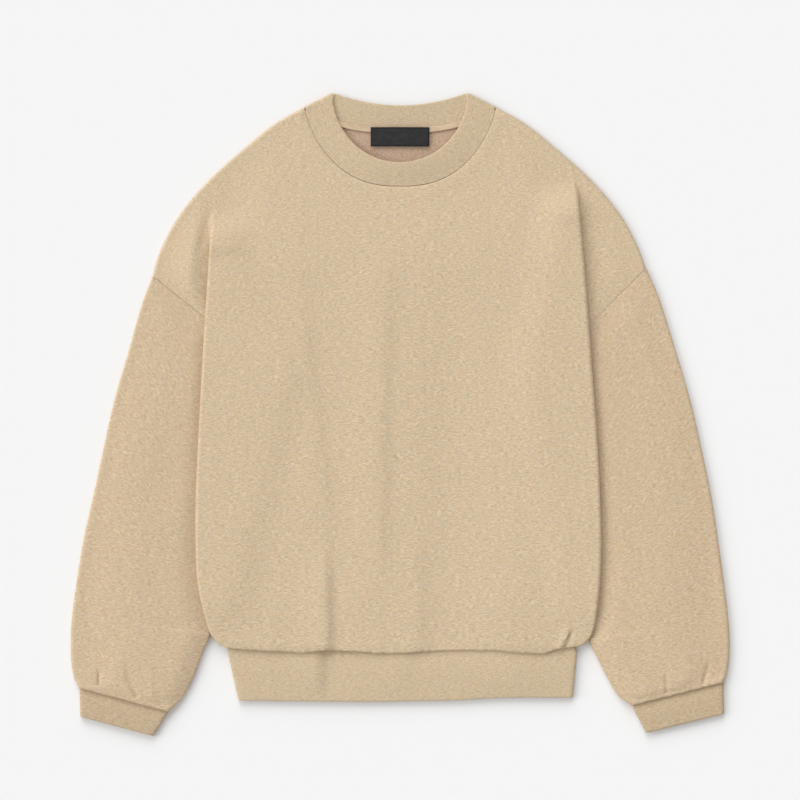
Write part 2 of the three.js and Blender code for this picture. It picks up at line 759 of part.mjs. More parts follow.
// Share of a sleeve section, from its outer edge, that the body leaves uncovered
function uncoveredShare(side, { outer, inner }) {
  const steps = 60;
  for (let i = steps; i > 0; i -= 1) {
    const { x, y } = outer.clone().lerp(inner, i / steps);
    if (Math.abs(x) >= edgeX(side, y) || y < side.sleeveExit.y) return i / steps;
  }
  return 0;
}

// How far the sleeve's upper cloth stands up at its outer edge, its free inner edge and
// between them, at the armhole and at the cuff
const PUFF = { outer: 1.6, inner: 1.2, atArmhole: 1.2, atCuff: 3 };

// Upper cloth of a sleeve section: low under the body's edge, puffed outside it
function sleeveProfile(side, ends, fullness) {
  const open = uncoveredShare(side, ends);
  const outerLevel = SECOND + PUFF.outer * fullness;
  const innerLevel = open >= 1 ? SECOND + PUFF.inner : SECOND;
  const puff = lerp(PUFF.atArmhole, PUFF.atCuff, fullness);
  return (share) => {
    const way = clamp(share / open, 0, 1);
    const hump = Math.sin(Math.PI * way) ** 0.9 * puff;
    return lerp(outerLevel, innerLevel, ease(0.2, 1, way)) + hump;
  };
}

// Into the sleeve from its cuff, square to their seam
function cuffAxis(ends) {
  const across = ends.inner.clone().sub(ends.outer).normalize();
  const axis = new THREE.Vector2(-across.y, across.x);
  return axis.y > 0 ? axis : axis.negate();
}

const SLEEVE_WALL = { wall: FLEECE, low: GROUND, upper: 9, under: 6 };

// The sleeve's first rings, a short step apart, along the armhole
const ARMHOLE_STEP = 2;

// The sleeve's lip over its cuff: the rings where it is open and shut by distance up the sleeve,
// how much wider than the cuff it is, and the height of its upper cloth
const LIP_OPEN = { up: 3.3, wider: 1.9, level: BLOUSE - 0.4 };
const LIP_SHUT = { up: 0, wider: 1.6 + FLEECE / 2, level: 7.9 };

// The two rings made between them: how far shut, and how far up the upper and under cloth lie
const LIP_RINGS = [
  { shut: 0.35, upper: 1.9, under: 1.6 },
  { shut: 1, upper: 1.8, under: 2 * SEAM },
];

// Ends of the sleeve's first ring, set off from the armhole by the seam's gap
function armholeEnds({ sign, armholeFoot, shoulderEnd }) {
  const outer = new THREE.Vector2(sign * shoulderEnd.x, shoulderEnd.y);
  const inner = new THREE.Vector2(sign * armholeFoot.x, armholeFoot.y);
  const offset = cuffAxis({ outer, inner }).multiplyScalar(-SEAM);
  outer.addScaledVector(offset, 2);
  inner.add(offset).lerp(outer, 0.02);
  return { outer, inner };
}

function makeSleeve(side) {
  const ringOf = (ends, high) => flatRing({ ...ends, ...SLEEVE_WALL, high });
  const first = armholeEnds(side);
  const step = cuffAxis(first).multiplyScalar(-ARMHOLE_STEP);
  const second = { outer: first.outer.clone().add(step), inner: first.inner.clone().add(step) };
  const rings = [first, second].map((ends) => ringOf(ends, () => SECOND));
  side.sleeve.forEach((row, i) => {
    const ends = endsOf(side, row);
    const fullness = ease(-1, side.sleeve.length - 3, i);
    rings.push(ringOf(ends, sleeveProfile(side, ends, fullness)));
  });
  const seam = endsOf(side, side.cuff);
  const axis = cuffAxis(seam);
  const across = seam.inner.clone().sub(seam.outer).normalize();
  const lipRing = ({ up, wider, level }) => {
    const lift = axis.clone().multiplyScalar(up);
    const outer = seam.outer.clone().add(lift).addScaledVector(across, -wider);
    const inner = seam.inner.clone().add(lift).addScaledVector(across, wider);
    return ringOf({ outer, inner }, () => level);
  };
  const open = lipRing(LIP_OPEN);
  const shut = lipRing(LIP_SHUT);
  const up = new THREE.Vector3(axis.x, axis.y, 0);
  const turned = LIP_RINGS.map((lip) =>
    open.map((point, i) => {
      const reach = point.z < GROUND + 0.01 ? lip.under : lip.upper;
      const from = point.clone().addScaledVector(up, -LIP_OPEN.up);
      return from.lerp(shut[i], lip.shut).addScaledVector(up, reach);
    }),
  );
  return clothWall([...rings, open, ...turned], FLEECE);
}

function makeCuff(side) {
  const top = endsOf(side, side.cuff);
  const foot = endsOf(side, side.cuffFoot);
  return makeBand({ top, foot, into: cuffAxis(top), upper: 7, under: 5 });
}

function makeHem() {
  const { right, left } = SIDES;
  return makeBand({
    top: {
      outer: planPoint(right, right.hemHalf, HEM_Y),
      inner: planPoint(left, left.hemHalf, HEM_Y),
    },
    foot: {
      outer: planPoint(right, right.hemFootHalf, HEM_FOOT - HEM_SKEW),
      inner: planPoint(left, left.hemFootHalf, HEM_FOOT + HEM_SKEW),
    },
    into: new THREE.Vector2(0, 1),
    upper: 16,
    under: 10,
  });
}

// Collar: a band from the neck seam (share 0) to its free edge (share 1), folded flat at the
// shoulders, where the front half lies over the back half
const COLLAR_SEAM_TIP = new THREE.Vector2(109.7, 357.4);
const COLLAR_EDGE_TIP = new THREE.Vector2(COLLAR_HALF, COLLAR_Y);
const COLLAR_LOW = RIB / 2;
const COLLAR_BEND = 1.75;
const COLLAR_INSET = 0.994;

function collarFront(angle, share) {
  const seam = frontNeckline(angle);
  const seamY = NECK_Y + (seam.y - NECK_Y) * COLLAR_INSET;
  const x = lerp(seam.x * COLLAR_INSET, COLLAR_HALF * Math.cos(angle), share);
  const y = lerp(seamY, COLLAR_Y - COLLAR_DROP * Math.sin(angle), share);
  const edgeZ = COLLAR_LOW + 2 * COLLAR_BEND + COLLAR_STAND * Math.sin(angle) ** 2;
  const climb = (ease(0, 1, share) + share) / 2;
  return new THREE.Vector3(x, y, lerp(neckLevel(seam.x), edgeZ, climb));
}

function collarBack(angle, share) {
  const across = Math.cos(angle);
  const seamY = backNeckline(NECK_HALF * across) + 0.4;
  const edgeY = COLLAR_Y - COLLAR_BACK_DROP * (1 - across ** 2);
  const x = lerp(NECK_HALF * 0.99, COLLAR_HALF, share) * across;
  return new THREE.Vector3(x, lerp(seamY, edgeY, share), COLLAR_LOW);
}

function collarTip(share, turn) {
  const tip = COLLAR_SEAM_TIP.clone().lerp(COLLAR_EDGE_TIP, share);
  const fold = COLLAR_EDGE_TIP.clone().sub(COLLAR_SEAM_TIP).normalize();
  const outward = new THREE.Vector2(fold.y, -fold.x);
  const reach = COLLAR_BEND * (Math.sin(turn) - 1) - RIB / 2;
  tip.addScaledVector(outward, reach);
  return new THREE.Vector3(tip.x, tip.y, COLLAR_LOW + COLLAR_BEND * (1 + Math.cos(turn)));
}

function makeCollar() {
  const half = [];
  const steps = NECK_COLUMNS;
  for (let i = steps; i > 0; i -= 1) {
    half.push((share) => collarFront(((Math.PI / 2) * i) / steps, share));
  }
  for (let i = 0; i <= ARC_STEPS; i += 1) {
    half.push((share) => collarTip(share, (Math.PI * i) / ARC_STEPS));
  }
  for (let i = 1; i <= steps; i += 1) {
    half.push((share) => collarBack(((Math.PI / 2) * i) / steps, share));
  }
  const mirrored = (point) => new THREE.Vector3(-point.x, point.y, point.z);
  const rows = [0, 0.35, 0.7, 1].map((share) => {
    const leftHalf = half.map((at) => at(share));
    const rightHalf = half.map((at) => mirrored(at(share))).reverse();
    return leftHalf.concat(rightHalf.slice(1));
  });
  return clothWall(rows, RIB);
}

function makeTape() {
  const columns = 16;
  const rows = [-TAPE_SHAPE.width, 0].map((offset) => {
    const row = [];
    for (let i = 0; i <= columns; i += 1) {
      const x = lerp(-TAPE_SHAPE.half, TAPE_SHAPE.half, i / columns);
      const y = backNeckline(Math.abs(x)) - 0.2 + offset;
      row.push(new THREE.Vector3(x, y, FLEECE + SEAM + TAPE / 2));
    }
    return row;
  });
  return clothWall(rows, TAPE);
}

// The label hangs over the tape and its lower edge sinks to the cloth
function makeLabel() {
  const high = FLEECE + 2 * SEAM + 1.5 * TAPE;
  const low = FLEECE + SEAM + 0.1 + TAPE / 2;
  const stops = [
    { down: LABEL.height, z: low },
    { down: LABEL.height * 0.62, z: low },
    { down: LABEL.overTape, z: high },
    { down: 0, z: high },
  ];
  const across = [-0.5, -0.17, 0.17, 0.5];
  const rows = stops.map(({ down, z }) =>
    across.map((share) => new THREE.Vector3(LABEL.width * share, LABEL.top - down, z)),
  );
  return clothWall(rows, TAPE);
}

function cloth(colour, roughness) {
  return new THREE.MeshStandardMaterial({ color: colour, roughness, metalness: 0 });
}

const fleeceColour = 0xd5c0a1;
const ribColour = 0xc9b497;
const pieces = [
  ["front", makeFront(), cloth(fleeceColour, 0.95)],
  ["back", makeBack(), cloth(0xbea48a, 0.95)],
  ["sleeve_right", makeSleeve(SIDES.right), cloth(fleeceColour, 0.95)],
  ["sleeve_left", makeSleeve(SIDES.left), cloth(fleeceColour, 0.95)],
  ["neck_rib", makeCollar(), cloth(ribColour, 0.9)],
  ["hem_rib", makeHem(), cloth(ribColour, 0.9)],
  ["cuff_right", makeCuff(SIDES.right), cloth(ribColour, 0.9)],
  ["cuff_left", makeCuff(SIDES.left), cloth(ribColour, 0.9)],
  ["neck_tape", makeTape(), cloth(0xcbb89c, 0.85)],
  ["neck_label", makeLabel(), cloth(0x373737, 0.7)],
];

const garment = new THREE.Group();
for (const [name, geometry, material] of pieces) {
  const mesh = new THREE.Mesh(geometry, material);
  mesh.name = name;
  garment.add(mesh);
}

// The origin is the middle of the garment's base
const box = new THREE.Box3().setFromObject(garment, true);
const middle = box.getCenter(new THREE.Vector3());
garment.position.set(-middle.x, -middle.y, -box.min.z);
garment.updateMatrixWorld(true);

export default garment;
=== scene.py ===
"""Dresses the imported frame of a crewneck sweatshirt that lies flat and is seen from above.

Shapes are worked out in millimetres on the garment's plan: x runs across it towards the wearer's
left, y from the hem to the neck and z up from the surface that it lies on.  In the tables of one
side, x is the distance outward from the middle line.  Meshes are in metres, in the frame's axes.
"""
import logging
import math
from collections.abc import Callable, Sequence
from dataclasses import dataclass
from enum import Enum
from typing import Any

import bmesh
import bpy
import numpy as np
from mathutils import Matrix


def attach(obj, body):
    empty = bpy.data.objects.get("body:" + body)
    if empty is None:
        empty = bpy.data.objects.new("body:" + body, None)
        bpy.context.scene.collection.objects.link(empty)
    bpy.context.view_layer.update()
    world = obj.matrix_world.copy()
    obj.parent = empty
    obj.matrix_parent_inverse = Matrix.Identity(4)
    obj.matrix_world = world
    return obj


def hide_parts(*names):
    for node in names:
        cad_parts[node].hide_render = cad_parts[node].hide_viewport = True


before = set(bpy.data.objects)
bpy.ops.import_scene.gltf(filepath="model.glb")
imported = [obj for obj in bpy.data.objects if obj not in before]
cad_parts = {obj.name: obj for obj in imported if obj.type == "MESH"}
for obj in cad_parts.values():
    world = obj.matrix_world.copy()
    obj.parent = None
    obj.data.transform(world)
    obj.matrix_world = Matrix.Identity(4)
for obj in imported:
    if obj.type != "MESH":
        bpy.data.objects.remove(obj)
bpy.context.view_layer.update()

LOG = logging.getLogger("sweatshirt")
MM = 0.001
TINY = 1e-9

# Grid points closer than this, in millimetres, are one, and so are mesh points closer than the
# second, in metres
WELD = 1e-4
MESH_WELD = 2e-6
SHARP_ANGLE = math.radians(55)

# How far round the quarter circle of a rounded edge its added rows lie, and the largest share of
# the last cell that they may take
ROUND_TURNS = (0.25, 0.5, 0.75)
ROUND_REACH = 0.9

# Takes a point to the other side of the middle line
MIRROR = np.array([-1.0, 1.0, 1.0])

# Middle of the garment's own box on its plan, which is the frame's origin
BOX_MIDDLE = np.array([0.2526, 0.1196])


def ease(start: float | np.ndarray, stop: float | np.ndarray, at: float | np.ndarray) -> np.ndarray:
    """Rises from 0 at start to 1 at stop, as 3t^2 - 2t^3 of the clamped share t between them.

    Args:
        start: where it is 0.
        stop: where it is 1, above or below start.
        at: where it is read.

    Returns:
        The eased share.
    """
    share = np.clip((at - start) / (stop - start), 0.0, 1.0)
    return share * share * (3.0 - 2.0 * share)


def mix(low: Any, high: Any, share: Any) -> Any:
    """Goes from low to high in a straight line by share."""
    return low + (high - low) * share


def steps(count: int, first: int = 1) -> np.ndarray:
    """Shares up to 1 in count even steps, as one row: above 0, or from 0 where first is 0."""
    return np.arange(first, count + 1)[None, :] / count


def unit(vector: np.ndarray) -> np.ndarray:
    """The vector at length 1."""
    return vector / np.linalg.norm(vector)


@dataclass(frozen=True)
class Curve:
    """A smooth line through rows of key and value."""

    rows: tuple[tuple[float, float], ...]

    def at(self, key: np.ndarray | float) -> np.ndarray:
        """Reads the line: a cubic between rows, whose slope at a row is that of the straight line
        through the rows on either side of it.

        Args:
            key: where it is read, held to the first and last row.

        Returns:
            The values, in the shape of key.
        """
        keys, values = np.array(self.rows, dtype=float).T
        order = np.arange(len(keys))
        low = np.maximum(order - 1, 0)
        high = np.minimum(order + 1, len(keys) - 1)
        slopes = (values[high] - values[low]) / (keys[high] - keys[low])
        i = np.clip(np.searchsorted(keys, key, side="right") - 1, 0, len(keys) - 2)
        span = keys[i + 1] - keys[i]
        t = np.clip((key - keys[i]) / span, 0.0, 1.0)
        rise = values[i + 1] - values[i]
        lead = slopes[i] * span - rise
        trail = slopes[i + 1] * span - rise
        return values[i] + t * rise + t * (1 - t) * ((1 - t) * lead - t * trail)


@dataclass(frozen=True)
class Crease:
    """A soft trough, where height is below 0, or ridge of the cloth, along a line on the plan.  Its
    flank towards higher x may be steeper or gentler than the other, whose width is width."""

    start: tuple[float, float]
    stop: tuple[float, float]
    width: float
    height: float
    bow: float = 0.0
    fade_in: float = 0.3
    fade_out: float = 0.25
    flank: float | None = None

    def relief(self, x: np.ndarray, y: np.ndarray) -> np.ndarray:
        """Height of the crease: a bell across its line, which bows sideways as a half sine, and
        fades in and out along it.

        Args:
            x: places across the plan.
            y: places up the plan.

        Returns:
            Heights in millimetres.
        """
        run = np.array(self.stop) - np.array(self.start)
        length = math.hypot(*run)
        share = ((x - self.start[0]) * run[0] + (y - self.start[1]) * run[1]) / length**2
        off = ((x - self.start[0]) * run[1] - (y - self.start[1]) * run[0]) / length
        off = (off if run[1] > 0 else -off) - self.bow * np.sin(np.pi * np.clip(share, 0, 1))
        fade = ease(-0.05, self.fade_in, share) * ease(1.05, 1.0 - self.fade_out, share)
        width = np.where(off > 0, self.flank or self.width, self.width)
        return self.height * fade * np.exp(-((off / width) ** 2))


@dataclass(frozen=True)
class Ripple:
    """An uneven wave of the cloth, whose waves are about size long and are shifted by phase."""

    height: float
    size: float
    phase: float

    def relief(self, x: np.ndarray, y: np.ndarray) -> np.ndarray:
        """Height of the wave: the mean of three sines whose directions and lengths don't repeat
        together.

        Args:
            x: places across, in millimetres.
            y: places along, in millimetres.

        Returns:
            Heights in millimetres.
        """
        a = 2 * np.pi / self.size
        first = np.sin(a * (x + 0.35 * y) + self.phase)
        second = np.sin(a * 0.63 * (x * 0.8 - y * 0.9) + 2.3 * self.phase + 1.1)
        third = np.sin(a * 1.37 * (0.5 * x + y) + 0.7 * self.phase + 2.9)
        return self.height * ((first + second + third) / 3)


def relief_of(forms: Sequence[Crease | Ripple], x: np.ndarray, y: np.ndarray) -> np.ndarray:
    """Sum of the creases and ripples at places on the plan."""
    return sum((form.relief(x, y) for form in forms), np.zeros(np.broadcast(x, y).shape))


@dataclass
class Sheet:
    """A grid of the middle points of a cloth, half its thickness at each, and places on the cloth.

    points has rows, columns and x, y, z in millimetres; half has rows and columns; uv has rows,
    columns and two distances on the cloth in millimetres.
    """

    points: np.ndarray
    half: np.ndarray
    uv: np.ndarray

    @classmethod
    def flat(cls, points: np.ndarray, thickness: float) -> "Sheet":
        """Cloth that lies along x and y: its places are the length along each row from the middle
        column, and y less z.

        Args:
            points: grid of middle points.
            thickness: of the cloth.

        Returns:
            The sheet.
        """
        gaps = np.linalg.norm(np.diff(points, axis=1), axis=2)
        along = np.concatenate([np.zeros((len(points), 1)), np.cumsum(gaps, axis=1)], axis=1)
        middle = np.argmin(np.abs(points[:, :, 0]), axis=1)
        along = along - np.take_along_axis(along, middle[:, None], axis=1)
        uv = np.stack([along, points[:, :, 1] - points[:, :, 2]], axis=2)
        return cls(points, np.full(points.shape[:2], thickness / 2), uv)

    @classmethod
    def tube(cls, points: np.ndarray, thickness: float, even: bool = False) -> "Sheet":
        """Cloth that goes round: its places are the length round each ring, and the mean length
        along the tube up to the ring.

        Args:
            points: grid with a row for each ring, whose last point is its first.
            thickness: of the cloth.
            even: True where every ring takes the mean of their lengths.

        Returns:
            The sheet.
        """
        gaps = np.linalg.norm(np.diff(points, axis=1), axis=2)
        if even:
            gaps = gaps.mean(axis=0) + np.zeros_like(gaps)
        around = np.concatenate([np.zeros((len(points), 1)), np.cumsum(gaps, axis=1)], axis=1)
        run = np.linalg.norm(np.diff(points, axis=0), axis=2).mean(axis=1)
        along = np.concatenate([[0.0], np.cumsum(run)])[:, None] + np.zeros_like(around)
        uv = np.stack([around, along], axis=2)
        return cls(points, np.full(points.shape[:2], thickness / 2), uv)

    def rounded(self, axis: int, at_end: bool) -> "Sheet":
        """Rounds the cloth off towards one side of the grid: rows are added in the cell at that
        side, where the half thickness follows a quarter circle down to 0.

        Args:
            axis: 0 for the first or last row, 1 for the first or last column.
            at_end: True for the last one.

        Returns:
            The sheet with more rows or columns.
        """
        parts = []
        for values in (self.points, self.half[:, :, None], self.uv):
            values = np.moveaxis(values, axis, 0)
            parts.append(values[::-1] if at_end else values)
        points, half, uv = parts
        cell = np.linalg.norm(points[1] - points[0], axis=1)[None, :, None]
        turns = (np.pi / 2 * np.array(ROUND_TURNS))[:, None, None]
        share = np.minimum(half[:1] * (1 - np.cos(turns)) / np.maximum(cell, TINY), ROUND_REACH)
        added = [mix(values[:1], values[1:2], share) for values in (points, half, uv)]
        added[1] = added[1] * np.sin(turns)
        half = np.concatenate([half[:1] * 0, added[1], half[1:]])
        points = np.concatenate([points[:1], added[0], points[1:]])
        uv = np.concatenate([uv[:1], added[2], uv[1:]])
        turned = [values[::-1] if at_end else values for values in (points, half, uv)]
        points, half, uv = (np.moveaxis(values, 0, axis) for values in turned)
        return Sheet(points, half[:, :, 0], uv)


def grid_faces(rows: int, columns: int, first: int) -> np.ndarray:
    """Corners of the cells of a grid whose points are numbered along its rows from first.

    Args:
        rows: rows of points.
        columns: points in a row.
        first: number of the first point.

    Returns:
        Four point numbers for each cell.
    """
    ids = first + np.arange(rows * columns).reshape(rows, columns)
    corners = (ids[:-1, :-1], ids[:-1, 1:], ids[1:, 1:], ids[1:, :-1])
    return np.stack(corners, axis=2).reshape(-1, 4)


def normals_of(points: np.ndarray, cells: np.ndarray) -> np.ndarray:
    """Normal at each point: the mean of its cells' unit normals, each of them along the cross
    product of the cell's diagonals.

    Args:
        points: points of one face.
        cells: four corners of each cell.

    Returns:
        Unit normals.
    """
    corners = points[cells]
    across = np.cross(corners[:, 2] - corners[:, 0], corners[:, 3] - corners[:, 1])
    across /= np.maximum(np.linalg.norm(across, axis=1, keepdims=True), TINY)
    normals = np.zeros_like(points)
    for corner in cells.T:
        np.add.at(normals, corner, across)
    return normals / np.maximum(np.linalg.norm(normals, axis=1, keepdims=True), TINY)


def rims_of(cells: np.ndarray, spots: np.ndarray, count: int) -> tuple[np.ndarray, np.ndarray]:
    """Strips that join the two faces along each free edge, which no other cell takes backwards.

    Args:
        cells: four corners of each cell of the upper face.
        spots: the same corners as numbers of places on the cloth.
        count: how many points a face has.

    Returns:
        Corners of the strips' cells, and their places on the cloth.
    """
    pairs = np.stack([cells, np.roll(cells, -1, axis=1)], axis=2).reshape(-1, 2)
    spot_pairs = np.stack([spots, np.roll(spots, -1, axis=1)], axis=2).reshape(-1, 2)
    free = ~np.isin(pairs @ np.array([count, 1]), pairs @ np.array([1, count]))
    start, stop = pairs[free].T
    from_spot, to_spot = spot_pairs[free].T
    rims = np.stack([stop, start, start + count, stop + count], axis=1)
    return rims, np.stack([to_spot, from_spot, from_spot, to_spot], axis=1)


def placed(name: str, data: bpy.types.ID) -> bpy.types.Object:
    """Makes an object of its data and puts it in the scene.

    Args:
        name: of the object.
        data: its mesh, camera or light.

    Returns:
        The object.
    """
    made = bpy.data.objects.new(name, data)
    bpy.context.scene.collection.objects.link(made)
    return made


def shell(
    name: str, sheets: Sequence[Sheet], materials: Sequence[bpy.types.Material]
) -> bpy.types.Object:
    """Makes one closed wall of cloth from sheets that share points along their common edges.

    Points that coincide are one.  Each is moved half the thickness both ways along the mean
    normal of its cells, and no lower than the surface.  A strip closes each free edge.

    Args:
        name: of the piece.
        sheets: grids of middle points.
        materials: one for the whole wall, or one for the upper and one for the under face.

    Returns:
        The piece, with its places on the cloth as a UV map in metres.
    """
    firsts = np.cumsum([0] + [sheet.half.size for sheet in sheets])
    points = np.concatenate([sheet.points.reshape(-1, 3) for sheet in sheets])
    half = np.concatenate([sheet.half.ravel() for sheet in sheets])
    places = np.concatenate([sheet.uv.reshape(-1, 2) for sheet in sheets]) * MM
    spots = [grid_faces(*sheet.half.shape, first) for sheet, first in zip(sheets, firsts)]
    spots = np.concatenate(spots)
    rounded = np.round(points / WELD).astype(np.int64)
    _, kept, joined = np.unique(rounded, axis=0, return_index=True, return_inverse=True)
    points, half = points[kept], half[kept]
    cells = joined.ravel()[spots]
    ordered = np.sort(cells, axis=1)
    whole = (ordered[:, 1:] != ordered[:, :-1]).all(axis=1)
    cells, spots = cells[whole], spots[whole]
    reach = normals_of(points, cells) * half[:, None]
    skins = np.concatenate([points + reach, points - reach])
    skins[:, 2] = np.maximum(skins[:, 2], 0.0)
    skins[:, :2] -= BOX_MIDDLE
    rims, rim_spots = rims_of(cells, spots, len(points))
    polygons = np.concatenate([cells, cells[:, ::-1] + len(points), rims])
    loops = np.concatenate([spots, spots[:, ::-1], rim_spots])
    mesh = bpy.data.meshes.new(name)
    mesh.from_pydata((skins * MM).tolist(), [], polygons.tolist())
    mesh.uv_layers.new(name="cloth").data.foreach_set("uv", places[loops.ravel()].ravel())
    for material in materials:
        mesh.materials.append(material)
    slots = np.zeros(len(polygons), dtype=np.int32)
    slots[len(cells):2 * len(cells)] = len(materials) - 1
    mesh.polygons.foreach_set("material_index", slots)
    welded = bmesh.new()
    welded.from_mesh(mesh)
    bmesh.ops.remove_doubles(welded, verts=welded.verts, dist=MESH_WELD)
    welded.to_mesh(mesh)
    welded.free()
    mesh.shade_smooth()
    mesh.set_sharp_from_angle(angle=SHARP_ANGLE)
    return placed(name, mesh)


class Number:
    """A number in a shader.  Using it in an expression adds Math nodes."""

    def __init__(self, graph: "Graph", socket: bpy.types.NodeSocket) -> None:
        """Wraps a node's output socket."""
        self.graph = graph
        self.socket = socket

    def math(self, operation: str, *values: Any) -> "Number":
        """Adds a Math node.

        Args:
            operation: the node's operation.
            values: numbers or wrapped sockets for its inputs.

        Returns:
            Its result.
        """
        node = self.graph.node("ShaderNodeMath", {"operation": operation}, dict(enumerate(values)))
        return Number(self.graph, node.outputs[0])

    def __add__(self, other: Any) -> "Number":
        """Sum."""
        return self.math("ADD", self, other)

    __radd__ = __add__

    def __sub__(self, other: Any) -> "Number":
        """Difference."""
        return self.math("SUBTRACT", self, other)

    def __rsub__(self, other: Any) -> "Number":
        """Difference from a plain number."""
        return self.math("SUBTRACT", other, self)

    def __mul__(self, other: Any) -> "Number":
        """Product."""
        return self.math("MULTIPLY", self, other)

    __rmul__ = __mul__

    def sine(self) -> "Number":
        """Sine, of radians."""
        return self.math("SINE", self)

    def size(self) -> "Number":
        """The number without its sign."""
        return self.math("ABSOLUTE", self)

    def larger(self, other: "Number") -> "Number":
        """The larger of two numbers."""
        return self.math("MAXIMUM", self, other)

    def clamped(self, low: float, high: float) -> "Number":
        """Share of the way from low to high, held between 0 and 1.

        Args:
            low: where the share is 0.
            high: where it is 1.

        Returns:
            The share, eased at both ends.
        """
        settings = {"interpolation_type": "SMOOTHSTEP"}
        values = {"Value": self, "From Min": low, "From Max": high}
        node = self.graph.node("ShaderNodeMapRange", settings, values)
        return Number(self.graph, node.outputs["Result"])


@dataclass(frozen=True)
class Pattern:
    """Noise on the cloth: size of its blots across and along in millimetres, shift to another part
    of the noise, its octaves, strength of the finer ones and how far the blots are bent."""

    size: tuple[float, float]
    shift: float = 0.0
    octaves: float = 2.0
    finer: float = 0.5
    bent: float = 0.0


class Graph:
    """The node tree of one material."""

    def __init__(self, name: str) -> None:
        """Makes a material with a Principled shader and an output.

        Args:
            name: of the material.
        """
        self.material = bpy.data.materials.new(name)
        self.material.use_nodes = True
        self.tree = self.material.node_tree
        self.tree.nodes.clear()
        self.shader = self.node("ShaderNodeBsdfPrincipled", {}, {})
        self.node("ShaderNodeOutputMaterial", {}, {"Surface": self.shader.outputs["BSDF"]})

    def node(self, kind: str, settings: dict[str, Any], inputs: dict[Any, Any]) -> bpy.types.Node:
        """Adds a node.

        Args:
            kind: its type.
            settings: its own properties, which are set first.
            inputs: a number, colour, socket or Number for each input by name or place.

        Returns:
            The node.
        """
        node = self.tree.nodes.new(kind)
        for name, value in settings.items():
            setattr(node, name, value)
        return self.fill(node, inputs)

    def fill(self, node: bpy.types.Node, inputs: dict[Any, Any]) -> bpy.types.Node:
        """Links or sets some inputs of a node.

        Args:
            node: the node.
            inputs: a number, colour, socket or Number for each input by name or place.

        Returns:
            The node.
        """
        for key, value in inputs.items():
            socket = node.inputs[key]
            source = value.socket if isinstance(value, Number) else value
            if isinstance(source, bpy.types.NodeSocket):
                self.tree.links.new(source, socket)
            else:
                socket.default_value = source
        return node

    def cloth_places(self) -> bpy.types.NodeSocket:
        """Places on the piece's own cloth, in millimetres.

        Returns:
            Socket of the places.
        """
        source = self.node("ShaderNodeUVMap", {"uv_map": "cloth"}, {})
        scale = {0: source.outputs["UV"], "Scale": 1.0 / MM}
        return self.node("ShaderNodeVectorMath", {"operation": "SCALE"}, scale).outputs[0]

    def noise(self, places: Any, pattern: Pattern) -> Number:
        """Noise on the cloth.

        Args:
            places: socket of places in millimetres.
            pattern: what the noise is like.

        Returns:
            The noise, mostly from 0.3 to 0.7.
        """
        mapping = {
            "Vector": places,
            "Scale": (1 / pattern.size[0], 1 / pattern.size[1], 1.0),
            "Location": (pattern.shift, pattern.shift * 0.37, pattern.shift),
        }
        moved = self.node("ShaderNodeMapping", {"vector_type": "POINT"}, mapping)
        values = {
            "Vector": moved.outputs[0],
            "Scale": 1.0,
            "Detail": pattern.octaves,
            "Roughness": pattern.finer,
            "Distortion": pattern.bent,
        }
        made = self.node("ShaderNodeTexNoise", {"noise_dimensions": "2D"}, values)
        return Number(self, made.outputs[0])

    def blend(self, low: Any, high: Any, share: Any) -> bpy.types.NodeSocket:
        """Mixes two colours by a share."""
        values = {0: share, 6: low, 7: high}
        return self.node("ShaderNodeMix", {"data_type": "RGBA"}, values).outputs[2]

    def bump(
        self, height: Number, distance: float, strength: float, normal: Any = None
    ) -> bpy.types.NodeSocket:
        """Bends the surface by a height.

        Args:
            height: from 0 to 1.
            distance: how far 1 stands out, in metres.
            strength: share of the effect.
            normal: an earlier bend that it adds to.

        Returns:
            The bent normal.
        """
        values = {"Height": height, "Distance": distance, "Strength": strength}
        if normal is not None:
            values["Normal"] = normal
        return self.node("ShaderNodeBump", {}, values).outputs[0]


def linear(colour: tuple[int, int, int]) -> tuple[float, float, float, float]:
    """Turns a screen colour, 0 to 255 each, into the linear colour that a shader takes.

    Args:
        colour: red, green and blue.

    Returns:
        The linear colour, opaque.
    """
    parts = [value / 255 for value in colour]
    lit = [part / 12.92 if part <= 0.04045 else ((part + 0.055) / 1.055) ** 2.4 for part in parts]
    return (*lit, 1.0)


class Knit(Enum):
    """What the face of a cloth shows."""

    FLEECE = "fleece"
    RIB = "rib"
    BRUSHED = "brushed"


# Patterns of the heathered cloths: the wander of the rows and how far it goes in millimetres,
# small specks, blots of each tint with their shifts, and the fuzz of the fibres
WANDER = Pattern((19.0, 14.0), 3.1, 1.0)
WANDER_REACH = 10.0
SPECK = Pattern((2.2, 1.5), 91.0, 1.0)
BLOT_SHIFTS = (23.0, 37.0, 71.0)
FUZZ = Pattern((1.1, 0.8), 51.0, 2.0, 0.7)
RIB_SPACING = 1.8


